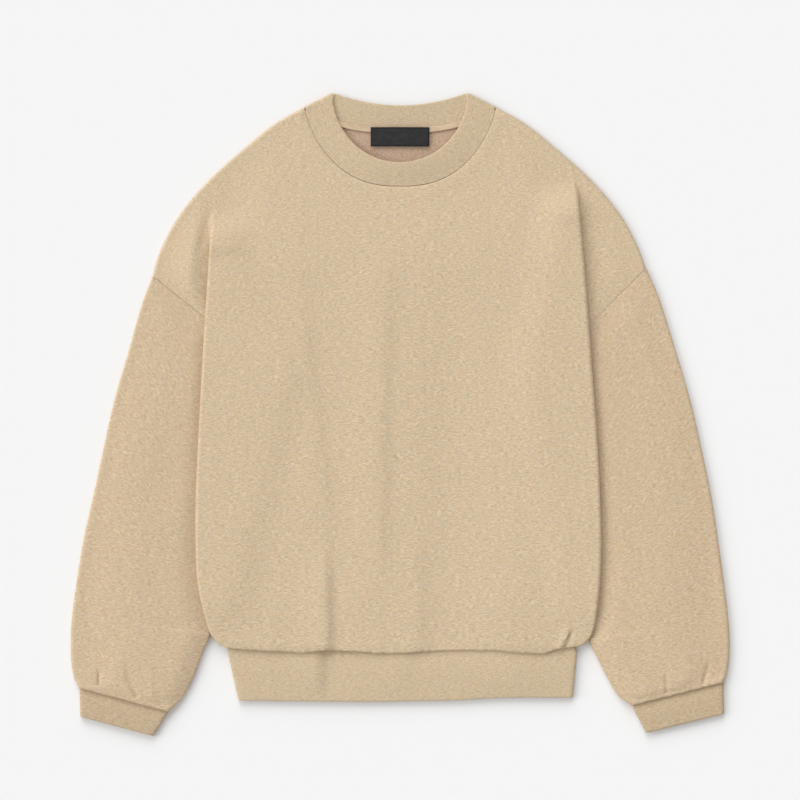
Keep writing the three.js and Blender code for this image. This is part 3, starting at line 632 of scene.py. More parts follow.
@dataclass(frozen=True)
class HeatherFinish:
    """Cloth of blended yarns: fine streaks of lighter and darker fibre, and faint casts of yellow,
    grey and pink."""

    name: str
    knit: Knit
    light: tuple[int, int, int]
    dark: tuple[int, int, int]
    yellow: tuple[int, int, int]
    grey: tuple[int, int, int]
    pink: tuple[int, int, int]
    cast: float = 0.5
    nap: float = 0.5
    streak: tuple[float, float] = (8.0, 1.55)

    def make(self) -> bpy.types.Material:
        """Builds the material.

        Returns:
            A matt, softly sheened cloth with its streaks along the rows of the knit.
        """
        graph = Graph(self.name)
        places = graph.cloth_places()
        tints = (self.light, self.dark, self.yellow, self.grey, self.pink)
        light, dark, yellow, grey, pink = (linear(tint) for tint in tints)
        drift = (graph.noise(places, WANDER) - 0.5) * WANDER_REACH
        wander = graph.node("ShaderNodeCombineXYZ", {}, {"X": 0.0, "Y": drift, "Z": 0.0})
        parts = {0: places, 1: wander.outputs[0]}
        rows = graph.node("ShaderNodeVectorMath", {"operation": "ADD"}, parts).outputs[0]
        across, along = self.streak
        streak = graph.noise(rows, Pattern((across, along), 0.0, 2.0, 0.6))
        thread = graph.noise(rows, Pattern((across * 0.5, along * 0.6), 11.0, 1.0))
        speck = graph.noise(places, SPECK)
        colour = graph.blend(dark, light, streak.clamped(0.22, 0.78))
        for tint, shift in zip((yellow, grey, pink), BLOT_SHIFTS):
            blot = graph.noise(places, Pattern((11.0, 6.5), shift, 2.0, 0.6, 0.3))
            colour = graph.blend(colour, tint, blot.clamped(0.46, 0.76) * self.cast)
        for tint, noise, low, high, strength in (
            (light, thread, 0.52, 0.74, 0.8),
            (dark, thread, 0.48, 0.26, 0.8),
            (pink, speck, 0.55, 0.75, self.cast * 0.7),
            (grey, speck, 0.45, 0.25, self.cast * 0.7),
        ):
            colour = graph.blend(colour, tint, noise.clamped(low, high) * strength)
        normal = graph.bump(streak, 0.0007, self.nap)
        normal = graph.bump(graph.noise(places, FUZZ), 0.0004, self.nap, normal)
        if self.knit is Knit.RIB:
            normal = graph.bump(self.ribs(graph, places), 0.0003, 0.15, normal)
        graph.fill(graph.shader, {
            "Base Color": colour,
            "Normal": normal,
            "Roughness": 0.92,
            "Specular IOR Level": 0.12,
            "Sheen Weight": 0.07,
            "Sheen Roughness": 0.5,
            "Sheen Tint": light,
        })
        return graph.material

    @staticmethod
    def ribs(graph: Graph, places: bpy.types.NodeSocket) -> Number:
        """Fine ribs across the band: a sine of the place along it."""
        parts = graph.node("ShaderNodeSeparateXYZ", {}, {0: places})
        return (Number(graph, parts.outputs[0]) * (2 * math.pi / RIB_SPACING)).sine() * 0.5 + 0.5


@dataclass(frozen=True)
class PaintedEdgeShade:
    """Painted shade along the edges of a woven piece: a darker band in place of the shade on its rounded
    edges, which reaches half_length to both sides of 0 along the cloth and half_height to both sides of
    middle across it."""

    half_length: float
    middle: float
    half_height: float
    width: float
    shade: float = 0.6

    def share(self, along: Number, across: Number) -> Number:
        """How much painted shade a place takes: the larger of its shares towards end and side.

        Args:
            along: place along the cloth.
            across: place across it.

        Returns:
            The share, 0 to 1.
        """
        soft = 0.7 * self.width
        end, side = self.half_length, self.half_height
        ends = along.size().clamped(end - self.width, end - soft)
        return ends.larger((across - self.middle).size().clamped(side - self.width, side - soft))


@dataclass(frozen=True)
class WovenFinish:
    """A close plain weave in one colour, with painted shade along its edges where edge_shade is given.
    """

    name: str
    colour: tuple[int, int, int]
    worn: tuple[int, int, int]
    thread: float = 0.45
    roughness: float = 0.6
    edge_shade: PaintedEdgeShade | None = None

    def make(self) -> bpy.types.Material:
        """Builds the material: threads over and under as the product of two sines.

        Returns:
            A woven cloth with slightly uneven colour, and painted shade along its edges where edge_shade
            is given.
        """
        graph = Graph(self.name)
        places = graph.cloth_places()
        parts = graph.node("ShaderNodeSeparateXYZ", {}, {0: places})
        along, across = (Number(graph, parts.outputs[axis]) for axis in (0, 1))
        turn = math.pi / self.thread
        weave = (along * turn).sine() * (across * turn).sine() * 0.5 + 0.5
        cloud = graph.noise(places, Pattern((9.0, 5.0), 7.0, 3.0))
        colour = graph.blend(linear(self.colour), linear(self.worn), cloud.clamped(0.35, 0.75))
        # Painted shade: the edges are darkened to the colour times shade, in place of the shade on a
        # rounded edge
        if self.edge_shade:
            dark = [value * self.edge_shade.shade for value in linear(self.colour)[:3]]
            colour = graph.blend(colour, (*dark, 1.0), self.edge_shade.share(along, across))
        graph.fill(graph.shader, {
            "Base Color": colour,
            "Normal": graph.bump(weave, 0.00012, 0.5),
            "Roughness": self.roughness,
            "Specular IOR Level": 0.3,
            "Sheen Weight": 0.1,
        })
        return graph.material


FLEECE_FACE = HeatherFinish(
    "fleece_face", Knit.FLEECE,
    light=(223, 203, 173), dark=(193, 170, 137),
    yellow=(217, 190, 145), grey=(196, 185, 160), pink=(212, 184, 160),
)
SLEEVE_FACE = HeatherFinish(
    "sleeve_face", Knit.FLEECE,
    light=(220, 199, 169), dark=(190, 166, 133),
    yellow=(214, 186, 142), grey=(194, 181, 156), pink=(209, 180, 156),
)
FLEECE_INSIDE = HeatherFinish(
    "fleece_inside", Knit.BRUSHED,
    light=(208, 181, 156), dark=(186, 157, 132),
    yellow=(200, 170, 138), grey=(190, 168, 148), pink=(202, 168, 148),
    cast=0.4, nap=0.8, streak=(4.0, 3.0),
)
RIB_FACE = HeatherFinish(
    "rib_face", Knit.RIB,
    light=(215, 195, 165), dark=(190, 168, 136),
    yellow=(210, 185, 145), grey=(193, 180, 155), pink=(205, 180, 156),
    cast=0.45, nap=0.35, streak=(7.0, 1.4),
)
CUFF_FACE = HeatherFinish(
    "cuff_face", Knit.RIB,
    light=(208, 187, 157), dark=(180, 158, 126),
    yellow=(203, 177, 138), grey=(186, 172, 147), pink=(197, 172, 148),
    cast=0.45, nap=0.35, streak=(7.0, 1.4),
)
TAPE_WEAVE = WovenFinish("tape_weave", (206, 182, 152), (194, 168, 138))
# The label's darker edges are painted shade, for the shade on its rounded edges
LABEL_WEAVE = WovenFinish(
    "label_weave", (31, 31, 32), (41, 41, 42), thread=0.3, edge_shade=PaintedEdgeShade(34.0, 315.7, 11.3, 2.4),
)
FLOOR_PAPER = (241, 241, 241)


@dataclass(frozen=True)
class Side:
    """One half of the garment.  edge is the body's side by height, and the sleeve has a row of
    outer x, outer y, inner x and inner y for each section.  The wing outside the fold rises over
    wing_reach by wing_puff: at once where wing_hollow is 0, and slowly at first where it is 1."""

    sign: float
    pleat_top: float
    pleat_radius: float
    wing_puff: float
    wing_reach: float
    wing_hollow: float
    underarm: tuple[float, float]
    armhole_foot: tuple[float, float]
    shoulder_end: tuple[float, float]
    sleeve_exit: tuple[float, float]
    hem_half: float
    hem_foot: tuple[float, float]
    edge: Curve
    sleeve: tuple[tuple[float, float, float, float], ...]
    cuff: tuple[float, float, float, float]
    cuff_foot: tuple[float, float, float, float]


RIGHT = Side(
    sign=-1.0,
    pleat_top=240.0,
    pleat_radius=2.2,
    wing_puff=6.0,
    wing_reach=21.0,
    wing_hollow=0.0,
    underarm=(145.0, 47.0),
    armhole_foot=(155.4, 55.1),
    shoulder_end=(286.5, 160.7),
    sleeve_exit=(218.7, -254.6),
    hem_half=199.5,
    hem_foot=(187.0, -332.0),
    edge=Curve((
        (-272, 204), (-255, 218.5), (-238, 225), (-197, 234.3), (-150, 236.8), (-99, 236.6),
        (-43, 234.3), (68, 228.5), (179, 221.6), (230, 218), (290, 214),
    )),
    sleeve=(
        (300, 124.6, 153.8, 11),
        (316, 68, 163.8, -29.6),
        (331, 16.8, 174.7, -73.7),
        (343.5, -39, 185.3, -116.6),
        (355.5, -94.5, 195.2, -157.2),
        (367.7, -150, 205.2, -197.8),
        (376.5, -206, 214.7, -236),
        (380.5, -238.4, 219.2, -254.6),
        (381.5, -263, 229, -277),
        (381, -284.8, 239, -304),
        (378, -303, 252.5, -328.5),
    ),
    cuff=(371.2, -318.0, 268.7, -345.4),
    cuff_foot=(370.4, -350.2, 285.7, -372.6),
)
LEFT = Side(
    sign=1.0,
    pleat_top=276.0,
    pleat_radius=2.6,
    wing_puff=2.6,
    wing_reach=50.0,
    wing_hollow=1.0,
    underarm=(162.0, 47.0),
    armhole_foot=(171.0, 56.0),
    shoulder_end=(285.4, 169.9),
    sleeve_exit=(219.2, -261.6),
    hem_half=205.3,
    hem_foot=(200.7, -329.0),
    edge=Curve((
        (-272, 210), (-255, 221.5), (-238, 226.5), (-197, 231.5), (-150, 233.2), (-99, 232),
        (-43, 229.5), (68, 221.6), (179, 213.4), (230, 208.5), (290, 201),
    )),
    sleeve=(
        (301, 132.8, 168.7, 11),
        (320, 72.5, 176.2, -29.6),
        (336.4, 16.8, 184.4, -73.7),
        (349.2, -39, 192.3, -116.6),
        (360.8, -94.5, 199.8, -157.2),
        (369.2, -150, 207.4, -197.8),
        (377, -206, 214.4, -236),
        (380.8, -240, 219.2, -261.6),
        (382, -262, 229, -282),
        (381.8, -280, 240, -304),
        (379.5, -297, 253, -325.5),
    ),
    cuff=(374.7, -311.5, 269.1, -338.1),
    cuff_foot=(375.8, -346.7, 285.4, -368.9),
)


@dataclass(frozen=True)
class Plan:
    """Outline, seams and layer heights that the pieces share."""

    fleece: float = 2.8
    rib: float = 3.0
    seam: float = 0.3
    ground: float = 1.4
    second: float = 4.6
    third: float = 9.4
    fourth: float = 14.2
    fold_radius: float = 2.4
    open_bend: float = 2.6
    least_turn: float = 0.02
    least_strip: float = 1.5
    strip_fade: float = 40.0
    bend_fade: float = 58.0
    ledge: float = 2.0
    chest: float = 11.0
    blouse: float = 9.6
    lip_floor: float = 6.35
    lip_half: float = 0.55
    hem_y: float = -275.0
    hem_dip: float = 1.2
    lip_start: float = 3.3
    neck_half: float = 110.8
    neck_y: float = 356.7
    front_drop: float = 92.8
    back_drop: float = 24.9
    shoulder_inset: float = 3.2
    edge_top: float = 285.0
    climb: tuple[float, float] = (-50.0, -4.0)
    neck_rise: float = 0.4
    neck_height: float = 2.6
    neck_slope: float = 15.0
    neck_even: float = 0.97
    sink: float = 95.0
    least_gap: float = 0.5
    lift_start: float = 40.0
    flatten: float = 80.0
    swell: tuple[float, float] = (3.0, 62.0)
    flap_rise: tuple[float, float] = (5.0, 20.0)
    flap_cross: tuple[float, float] = (-4.0, 8.0)
    flap_end: float = 25.0
    wing_start: float = 4.0
    shoulder: Curve = Curve((
        (110.8, 356.7), (145, 337), (180, 309), (211.5, 281.3), (238.5, 253.5), (259.5, 225.6),
        (274.5, 197.8), (283, 176), (287.5, 158),
    ))

    def front_neck(self, x: np.ndarray) -> np.ndarray:
        """Height of the front's collar seam: a flattened, pointed arch across the neck."""
        across = np.clip(x / self.neck_half, 0, 1)
        return self.neck_y - self.front_drop * (1 - across**2.5) ** 0.7

    def back_neck(self, x: np.ndarray) -> np.ndarray:
        """Height of the back's collar seam: a shallow arch across the neck."""
        return self.neck_y - self.back_drop * (1 - np.clip(x / self.neck_half, 0, 1) ** 2.6)

    def neck_level(self, x: np.ndarray) -> np.ndarray:
        """Height above the surface of the front's neck edge, which lies lowest at the shoulders."""
        arch = self.neck_height * (1 - np.clip(x / self.neck_half, 0, 1) ** 2)
        return self.second + self.neck_rise + arch

    def shoulder_normal(self, x: np.ndarray) -> np.ndarray:
        """Outward direction of the shoulder outline, by its slope over two millimetres.

        Args:
            x: distances from the middle line.

        Returns:
            Unit vectors on the plan.
        """
        x = np.maximum(x, self.neck_half + 1)
        slope = (self.shoulder.at(x + 1) - self.shoulder.at(x - 1)) / 2
        normal = np.stack([-slope, np.ones_like(slope)], axis=-1)
        return normal / np.linalg.norm(normal, axis=-1, keepdims=True)

    def top_y(self, x: np.ndarray) -> np.ndarray:
        """Top of a front panel: the lower of its collar seam and the inset shoulder outline."""
        shoulder = self.shoulder.at(x) - self.shoulder_inset / self.shoulder_normal(x)[..., 1]
        return np.where(x < self.neck_half, np.minimum(self.front_neck(x), shoulder), shoulder)

    def top_gap(self, x: np.ndarray, y: np.ndarray) -> np.ndarray:
        """Distance from the top edge: to the neck as an ellipse and to the shoulder's line, as the
        root of the sum of their inverse squares, inverted.

        Args:
            x: distances from the middle line.
            y: heights on the plan.

        Returns:
            Distances in millimetres.
        """
        drop = (self.neck_y - y) / self.front_drop
        to_neck = (np.sqrt((x / self.neck_half) ** 2 + drop**2) - 1) * self.front_drop
        to_shoulder = (self.shoulder.at(x) - self.shoulder_inset - y) * self.shoulder_normal(x)[..., 1]
        gaps = [np.maximum(gap, self.least_gap) for gap in (to_neck, to_shoulder)]
        return 1 / np.sqrt(gaps[0] ** -2.0 + gaps[1] ** -2.0)

    def top_row(self, side: Side) -> float:
        """Height of the shoulder outline at the body's edge."""
        return float(self.top_y(side.edge.at(np.array(self.edge_top))))

    def lift(self, side: Side, end: np.ndarray, y: np.ndarray) -> np.ndarray:
        """How far the front's rows move up, above the underarm, to end on the top outline."""
        top = self.top_row(side)
        return (self.top_y(end) - top) * ease(side.underarm[1] + self.lift_start, top, y)

    def strip(self, side: Side, y: np.ndarray) -> np.ndarray:
        """Length of the cloth between the two bends of the underarm fold.

        Args:
            side: which half.
            y: heights on the plan.

        Returns:
            Lengths in millimetres.
        """
        tucked = float(side.edge.at(side.underarm[1])) - side.underarm[0]
        full = tucked - self.fleece - 2 * self.fold_radius
        run = side.pleat_top - self.strip_fade - side.underarm[1]
        return mix(full, self.least_strip, np.clip((y - side.underarm[1]) / run, 0, 1))

    def fold_size(self, side: Side, y: np.ndarray) -> np.ndarray:
        """Radius of the underarm fold's bends: flatter above the underarm."""
        flat = ease(side.underarm[1], side.underarm[1] + self.flatten, y)
        return mix(self.fold_radius, side.pleat_radius, flat)

    def turn(self, side: Side, y: np.ndarray) -> np.ndarray:
        """Turn of each bend of the underarm fold: none above pleat_top, then a half turn."""
        turned = np.pi * ease(side.pleat_top, side.pleat_top - self.bend_fade, y)
        return np.maximum(turned, self.least_turn)

    def bend(self, side: Side, y: np.ndarray) -> np.ndarray:
        """Radius of such a bend: wide when it has just begun."""
        turn = self.turn(side, y)
        return (self.fold_size(side, y) * turn + self.open_bend * (1 - turn / np.pi)) / turn

    def inside(self, side: Side, y: np.ndarray) -> np.ndarray:
        """Line inside which nothing lies between front and back: the sleeve's inner edge, and
        above the underarm the inner bend of the fold.

        Args:
            side: which half.
            y: heights on the plan.

        Returns:
            Distances from the middle line.
        """
        above = side.edge.at(y) - self.strip(side, y) - self.fleece - 2 * self.fold_size(side, y)
        run = side.underarm[1] - side.sleeve_exit[1]
        below = mix(side.underarm[0], side.sleeve_exit[0], (side.underarm[1] - y) / run)
        return np.where(y > side.underarm[1], above, below)

    def edge_level(self, side: Side, y: np.ndarray) -> np.ndarray:
        """Height of the front's top layer at its side: on the fold's bends and strip.

        Args:
            side: which half.
            y: heights on the plan.

        Returns:
            Heights of the middle of the cloth.
        """
        turn = self.turn(side, y)
        rise = 2 * self.bend(side, y) * (1 - np.cos(turn)) + self.strip(side, y) * np.sin(turn)
        return np.where(y <= side.underarm[1], self.fourth, self.second + rise)

    def front_level(
        self, side: Side, x: np.ndarray, y: np.ndarray, relief: np.ndarray | float = 0
    ) -> np.ndarray:
        """Height of the front over the body: the chest, which sinks to the collar and shoulders,
        climbs on the sleeve and swells over the hem.

        Args:
            side: which half.
            x: distances from the middle line.
            y: heights on the plan.
            relief: height of the creases, added where the cloth lies free.

        Returns:
            The level of the middle of the cloth.
        """
        below_top = ease(self.sink, 0, self.top_gap(x, y))
        slope = ease(self.neck_half + self.neck_slope, self.neck_half, x)
        beside_neck = self.second + self.neck_rise * slope
        top_level = np.where(x < self.neck_half, self.neck_level(x), beside_neck)
        free = mix(self.chest, top_level, below_top)
        over = ease(*self.climb, x - self.inside(side, y))
        level = mix(free, self.edge_level(side, y), over)
        swell = ease(self.hem_y + self.swell[0], self.hem_y + self.swell[1], y)
        return mix(self.blouse, level, swell) + relief

    def flap_level(self, side: Side, x: np.ndarray, y: np.ndarray) -> np.ndarray:
        """Height of the back where it rises over the sleeve, below the underarm.

        Args:
            side: which half.
            x: distances from the middle line.
            y: heights on the plan.

        Returns:
            Heights of the middle of the cloth.
        """
        beyond = x - self.inside(side, y)
        risen = ease(self.hem_y + self.flap_rise[0], self.hem_y + self.flap_rise[1], y)
        over = ease(*self.climb, beyond) * risen
        end = ease(side.underarm[1] + self.flap_end, side.underarm[1] - self.flap_end, y)
        under = mix(end, 1.0, ease(*self.flap_cross, beyond))
        return mix(self.ground, self.third, over * under)

    def chest_end(self, side: Side, y: np.ndarray) -> np.ndarray:
        """Where the front's top layer ends and its side bend begins.

        Args:
            side: which half.
            y: heights on the plan.

        Returns:
            Distances from the middle line.
        """
        edge = side.edge.at(y)
        radius = (self.front_level(side, edge, y) - self.flap_level(side, edge, y)) / 2
        return edge - self.fleece / 2 - np.where(y > side.underarm[1], self.fold_size(side, y), radius)

    def share_up(self, side: Side, y: np.ndarray) -> np.ndarray:
        """How far up a row lies, from the hem at 0 to the top edge at 1."""
        return np.clip((y - self.hem_y) / (self.top_row(side) - self.hem_y), 0, 1)

    def armhole(self, side: Side, share: np.ndarray, inset: float) -> np.ndarray:
        """Points along the straight armhole seam, half the seam's gap on the body's side of it.

        Args:
            side: which half.
            share: how far from the underarm to the shoulder.
            inset: how far the upper end stops short of the shoulder.

        Returns:
            Plan points, with x outward from the middle line.
        """
        foot, head = np.array(side.armhole_foot), np.array(side.shoulder_end)
        along = unit(head - foot)
        line = foot + (head - along * inset - foot) * np.asarray(share)[..., None]
        return line + np.array([-along[1], along[0]]) * self.seam / 2

    def shoulder_line(self, side: Side, count: int) -> tuple[np.ndarray, np.ndarray]:
        """Points of the shoulder outline from the body's edge to the armhole, closer together at
        the armhole, and their outward directions.

        Args:
            side: which half.
            count: how many points.

        Returns:
            Points and normals on the plan.
        """
        start = float(side.edge.at(self.top_row(side))) + self.wing_start
        x = mix(start, side.shoulder_end[0], np.sin(np.pi / 2 * steps(count)[0, :-1]))
        points = np.stack([x, self.shoulder.at(x)], axis=-1)
        head, foot = self.armhole(side, np.array(1.0), 0), self.armhole(side, np.array(0.0), 0)
        normals = np.concatenate([self.shoulder_normal(x), unit(head - foot)[None]])
        return np.concatenate([points, head[None]]), normals

    def wing(self, side: Side, start: np.ndarray, y: np.ndarray, level: float, count: int) -> np.ndarray:
        """Wing of a panel from its line at the body's edge out to the armhole: straight lines
        below, which take the shoulder's curve towards the top by the cube of the share up.

        Args:
            side: which half.
            start: rows of plan points that it starts from.
            y: height of each row.
            level: height above the surface.
            count: columns.

        Returns:
            Rows and columns of points, with x outward.
        """
        top = self.top_row(side)
        share = np.clip((y - side.underarm[1]) / (top - side.underarm[1]), 0, 1)
        outline, normals = self.shoulder_line(side, count)
        outline = outline - normals * self.shoulder_inset
        top_start = float(side.edge.at(top)) + self.wing_start
        top_start = np.array([top_start, float(self.top_y(np.array(top_start)))])
        along = np.sin(np.pi / 2 * steps(count)[0])[None, :, None]
        seam = self.armhole(side, share[:, 0], self.shoulder_inset)
        straight = mix(start[:, None, :], seam[:, None, :], along)
        curved = outline[None] - mix(top_start, outline[-1], along)
        flat = straight + curved * share[:, :, None] ** 3
        return np.concatenate([flat, np.full((*flat.shape[:2], 1), level)], axis=2)


PLAN = Plan()


def both_sides(right: np.ndarray, left: np.ndarray) -> np.ndarray:
    """Joins the halves of rows at the middle line, from the wearer's right to left.

    Args:
        right: rows and columns of points outward on the right.
        left: the same on the left, with the same middle column.

    Returns:
        Whole rows, with x across the plan.
    """
    return np.concatenate([right[:, ::-1] * MIRROR, left[:, 1:]], axis=1)


@dataclass
class FrontPanel:
    """The front, with its underarm folds and the wings outside them, as one sheet."""

    plan: Plan = PLAN
    neck_columns: int = 28
    outer_columns: int = 30
    bend_steps: int = 6
    strip_steps: int = 6
    wing_columns: int = 40
    body_rows: tuple[tuple[float, float, float], ...] = ((-265, -229, 3.0), (-228, 46, 4.0))
    lip_shares: tuple[float, ...] = (1.0, 0.8, 0.6, 0.4, 0.2, 0.0)
    yoke_rows: tuple[float, float, int] = (0.0, 0.96, 52)
    top_shares: tuple[float, ...] = (0.972, 0.982, 0.989, 0.994, 0.997, 1.0)
    crowding: float = 1.6
    calm: float = 12.0
    neck_dip: float = 0.5
    dip_width: float = 1.6
    neck_crown: float = 0.4
    crown_place: float = 9.0
    crown_width: float = 6.0
    ledge_share: float = 0.3
    pull_start: float = 20.0
    band_gap: float = 0.6
    lip_gap: float = 0.4
    lip_turn: float = 1.4
    lip_calm: float = 0.75
    hem_lift: float = 5.0
    hem_reach: float = 207.0
    soft: tuple[float, float] = (70.0, 20.0)
    wing_flat: tuple[float, float] = (0.5, 0.72)
    edge_steps: int = 7
    edge_low: float = 0.5
    corner: float = 1.6
    corner_shares: tuple[float, ...] = (1.0, 0.6, 0.2)
    waves: tuple[Ripple, ...] = (Ripple(0.35, 95, 0.4), Ripple(0.14, 41, 1.7))
    hem_ripple: Ripple = Ripple(0.35, 21, 0.9)
    hem_wave: Curve = Curve((
        (-202, 1.0), (-179, 0.9), (-132, 0.4), (-109, -0.6), (-87, 1.9), (-51, 0.7), (-16, -1.4),
        (7, -0.5), (42, 1.6), (77, 2.2), (111, 1.6), (146, -1.8), (169, -2.4), (181, 1.2), (204, 1.9),
    ))
    creases: tuple[Crease, ...] = (
        Crease((-16, 205), (-24, -215), 30, 2.2, -3, flank=11),
        Crease((-126, 190), (-84, -160), 34, 1.8, 2, flank=11),
        Crease((-88, -130), (-85, -290), 20, 2.7, 1, 0.5, 0.0, 7.5),
        Crease((-82, -130), (-79, -290), 2.5, -1.2, 1, 0.5, 0.0, 18),
        Crease((64, 205), (54, -290), 26, -1.9, -3, 0.3, 0.0, 60),
        Crease((146, 130), (128, -290), 44, 1.6, 2, 0.3, 0.1, 38),
        Crease((16, -120), (20, -290), 15, 0.9, 2, 0.5, 0.0, 9),
        Crease((196.5, -244), (185, -274), 4.0, 2.0, 0.8, 0.3, 0.1, 1.4),
        Crease((199, -244), (187.5, -274), 1.4, -1.9, 0.8, 0.3, 0.1, 4.5),
        Crease((-206, -236), (-196, -262), 3.0, -0.8, 0.5),
        Crease((-150, -205), (-142, -290), 8, 0.6, 0, 0.5, 0.0),
        Crease((-170, 160), (-60, 205), 26, 0.6, 5),
        Crease((165, 150), (60, 200), 26, 0.5, -5),
        Crease((-150, 20), (-40, -40), 24, -0.5, 6),
        Crease((140, -60), (60, -90), 22, -0.4, 5),
    )

    def outward(self) -> np.ndarray:
        """Shares from the neck to the side, closer together at the side by a power."""
        return 1 - (1 - steps(self.outer_columns)) ** self.crowding

    def relief(self, side: Side, x: np.ndarray, y: np.ndarray, end: np.ndarray) -> np.ndarray:
        """Creases and a slow unevenness of the chest, fading at the side, and the dip in which the
        collar's seam lies.

        Args:
            side: which half.
            x: distances from the middle line.
            y: heights on the plan.
            end: where each row's top layer ends.

        Returns:
            Heights in millimetres.
        """
        forms = relief_of(self.creases + self.waves, side.sign * x, y)
        free = forms * ease(end, end - self.calm, x)
        slope = self.plan.front_neck(x + 0.5) - self.plan.front_neck(x - 0.5)
        off = (self.plan.front_neck(x) - y) / np.sqrt(1 + slope**2)
        dip = self.neck_dip * np.exp(-((off / self.dip_width) ** 2))
        crown = self.neck_crown * np.exp(-(((off - self.crown_place) / self.crown_width) ** 2))
        return free * ease(0, self.calm, off) + (crown - dip) * (x < self.plan.neck_half)

    def chest(self, side: Side, y: np.ndarray) -> np.ndarray:
        """Top layer from the middle line to the side bend: rows bow up to meet the top outline,
        and columns crowd by a sine towards the ends of the neck.

        Args:
            side: which half.
            y: heights on the plan.

        Returns:
            Rows of points, with x outward.
        """
        plan = self.plan
        share = plan.share_up(side, y)
        end = plan.chest_end(side, y)
        step = steps(self.neck_columns, 0)
        crowded = plan.neck_half * np.sin(np.pi / 2 * step)
        neck = mix(plan.neck_half * plan.neck_even * step, crowded, share**3)
        outer = mix(neck[:, -1:], end, self.outward())
        x = np.concatenate([neck, outer], axis=1)
        height = y + (plan.top_y(x) - plan.top_y(end)) * share + plan.lift(side, end, y)
        relief = self.relief(side, x, height, end)
        return np.stack([x, height, plan.front_level(side, x, height, relief)], axis=2)

    def side_bend(self, side: Side, y: np.ndarray) -> np.ndarray:
        """Half circle round the side below the underarm, and a ledge that ends at the seam.

        Args:
            side: which half.
            y: heights on the plan.

        Returns:
            Rows of points, with x outward.
        """
        plan = self.plan
        end = plan.chest_end(side, y)
        level = plan.front_level(side, end, y)
        radius = (level - plan.flap_level(side, end, y)) / 2
        angle = np.pi * steps(self.bend_steps)
        x = np.concatenate([end + radius * np.sin(angle), end - plan.ledge], axis=1)
        z = np.concatenate([level - radius * (1 - np.cos(angle)), level - 2 * radius], axis=1)
        return np.stack([x, y + np.zeros_like(x), z], axis=2)

    def fold(self, side: Side, y: np.ndarray) -> np.ndarray:
        """Underarm fold: a bend, a strip inward and a bend back, which open out towards the top.

        Args:
            side: which half.
            y: heights on the plan.

        Returns:
            Rows of points, with x outward.
        """
        plan = self.plan
        end = plan.chest_end(side, y)
        turn, strip = plan.turn(side, y), plan.strip(side, y)
        radius = plan.bend(side, y)
        angle = turn * steps(self.bend_steps)
        out, up = radius * np.sin(angle), -radius * (1 - np.cos(angle))
        ledge = np.minimum(plan.ledge, self.ledge_share * strip)
        run = np.concatenate([ledge, mix(ledge, strip, steps(self.strip_steps))], axis=1)
        strip_out = out[:, -1:] + run * np.cos(turn)
        strip_up = up[:, -1:] - run * np.sin(turn)
        back_out = strip_out[:, -1:] + radius * (np.sin(turn) - np.sin(turn - angle))
        back_up = strip_up[:, -1:] - radius * (np.cos(turn - angle) - np.cos(turn))
        x = end + np.concatenate([out, strip_out, back_out], axis=1)
        z = np.concatenate([up, strip_up, back_up], axis=1) + plan.second - back_up[:, -1:]
        pull = ease(side.pleat_top - self.pull_start, plan.top_y(end), y)
        height = y + (plan.top_y(x) - plan.top_y(end)) * pull + plan.lift(side, end, y)
        return np.stack([x, height, z], axis=2)

    def lip(self, side: Side, share: np.ndarray) -> np.ndarray:
        """Lip over the hem band: a quarter circle down to the band, which closes round the band's
        end with the square of share.

        Args:
            side: which half.
            share: how far each row has turned down, from 1 at the free edge to 0.

        Returns:
            Rows of points.
        """
        plan = self.plan
        closed = share**2
        end = plan.chest_end(side, np.array([[plan.hem_y + plan.swell[0]]]))
        radius = (plan.blouse - plan.ground) / 2
        band = plan.rib + self.band_gap
        clear = band + self.lip_gap
        band_end = side.hem_half - band
        lowest = math.acos((plan.ground - band) / clear)
        outer = mix(plan.neck_half, mix(end, band_end, closed), self.outward())
        neck = plan.neck_half * steps(self.neck_columns, 0) + 0 * share
        x = np.concatenate([neck, outer], axis=1)
        half_turn, shut_turn = np.pi * steps(self.bend_steps), lowest * steps(self.bend_steps)
        open_x = end + radius * np.sin(half_turn)
        open_z = plan.ground + radius * (1 + np.cos(half_turn))
        shut_x = band_end + clear * np.sin(shut_turn)
        shut_z = band + clear * np.cos(shut_turn)
        bend_x = mix(open_x, shut_x, closed)
        x = np.concatenate([x, bend_x, bend_x[:, -1:] - mix(plan.ledge, plan.seam, closed)], axis=1)
        low = mix(plan.blouse, plan.lip_floor + plan.lip_half, 1 - np.cos(np.pi / 2 * share))
        bend_z = mix(open_z, shut_z, closed)
        upper = self.neck_columns + self.outer_columns + 1
        z = np.concatenate([low + np.zeros((len(share), upper)), bend_z, bend_z[:, -1:]], axis=1)
        line = plan.hem_y - plan.hem_dip + self.hem_lift * (x / self.hem_reach) ** 6
        across = side.sign * x
        wave = self.hem_wave.at(across) + self.hem_ripple.relief(across, 0 * x)
        turned = (plan.lip_start - self.lip_turn) * np.sin(np.pi / 2 * share)
        y = line + wave + plan.lip_start - turned
        calm = ease(end, end - self.calm, x) * (1 - self.lip_calm * share)
        relief = relief_of(self.creases, across, y) * calm
        return np.stack([x, y, z + np.where(np.arange(x.shape[1]) < upper, relief, 0)], axis=2)

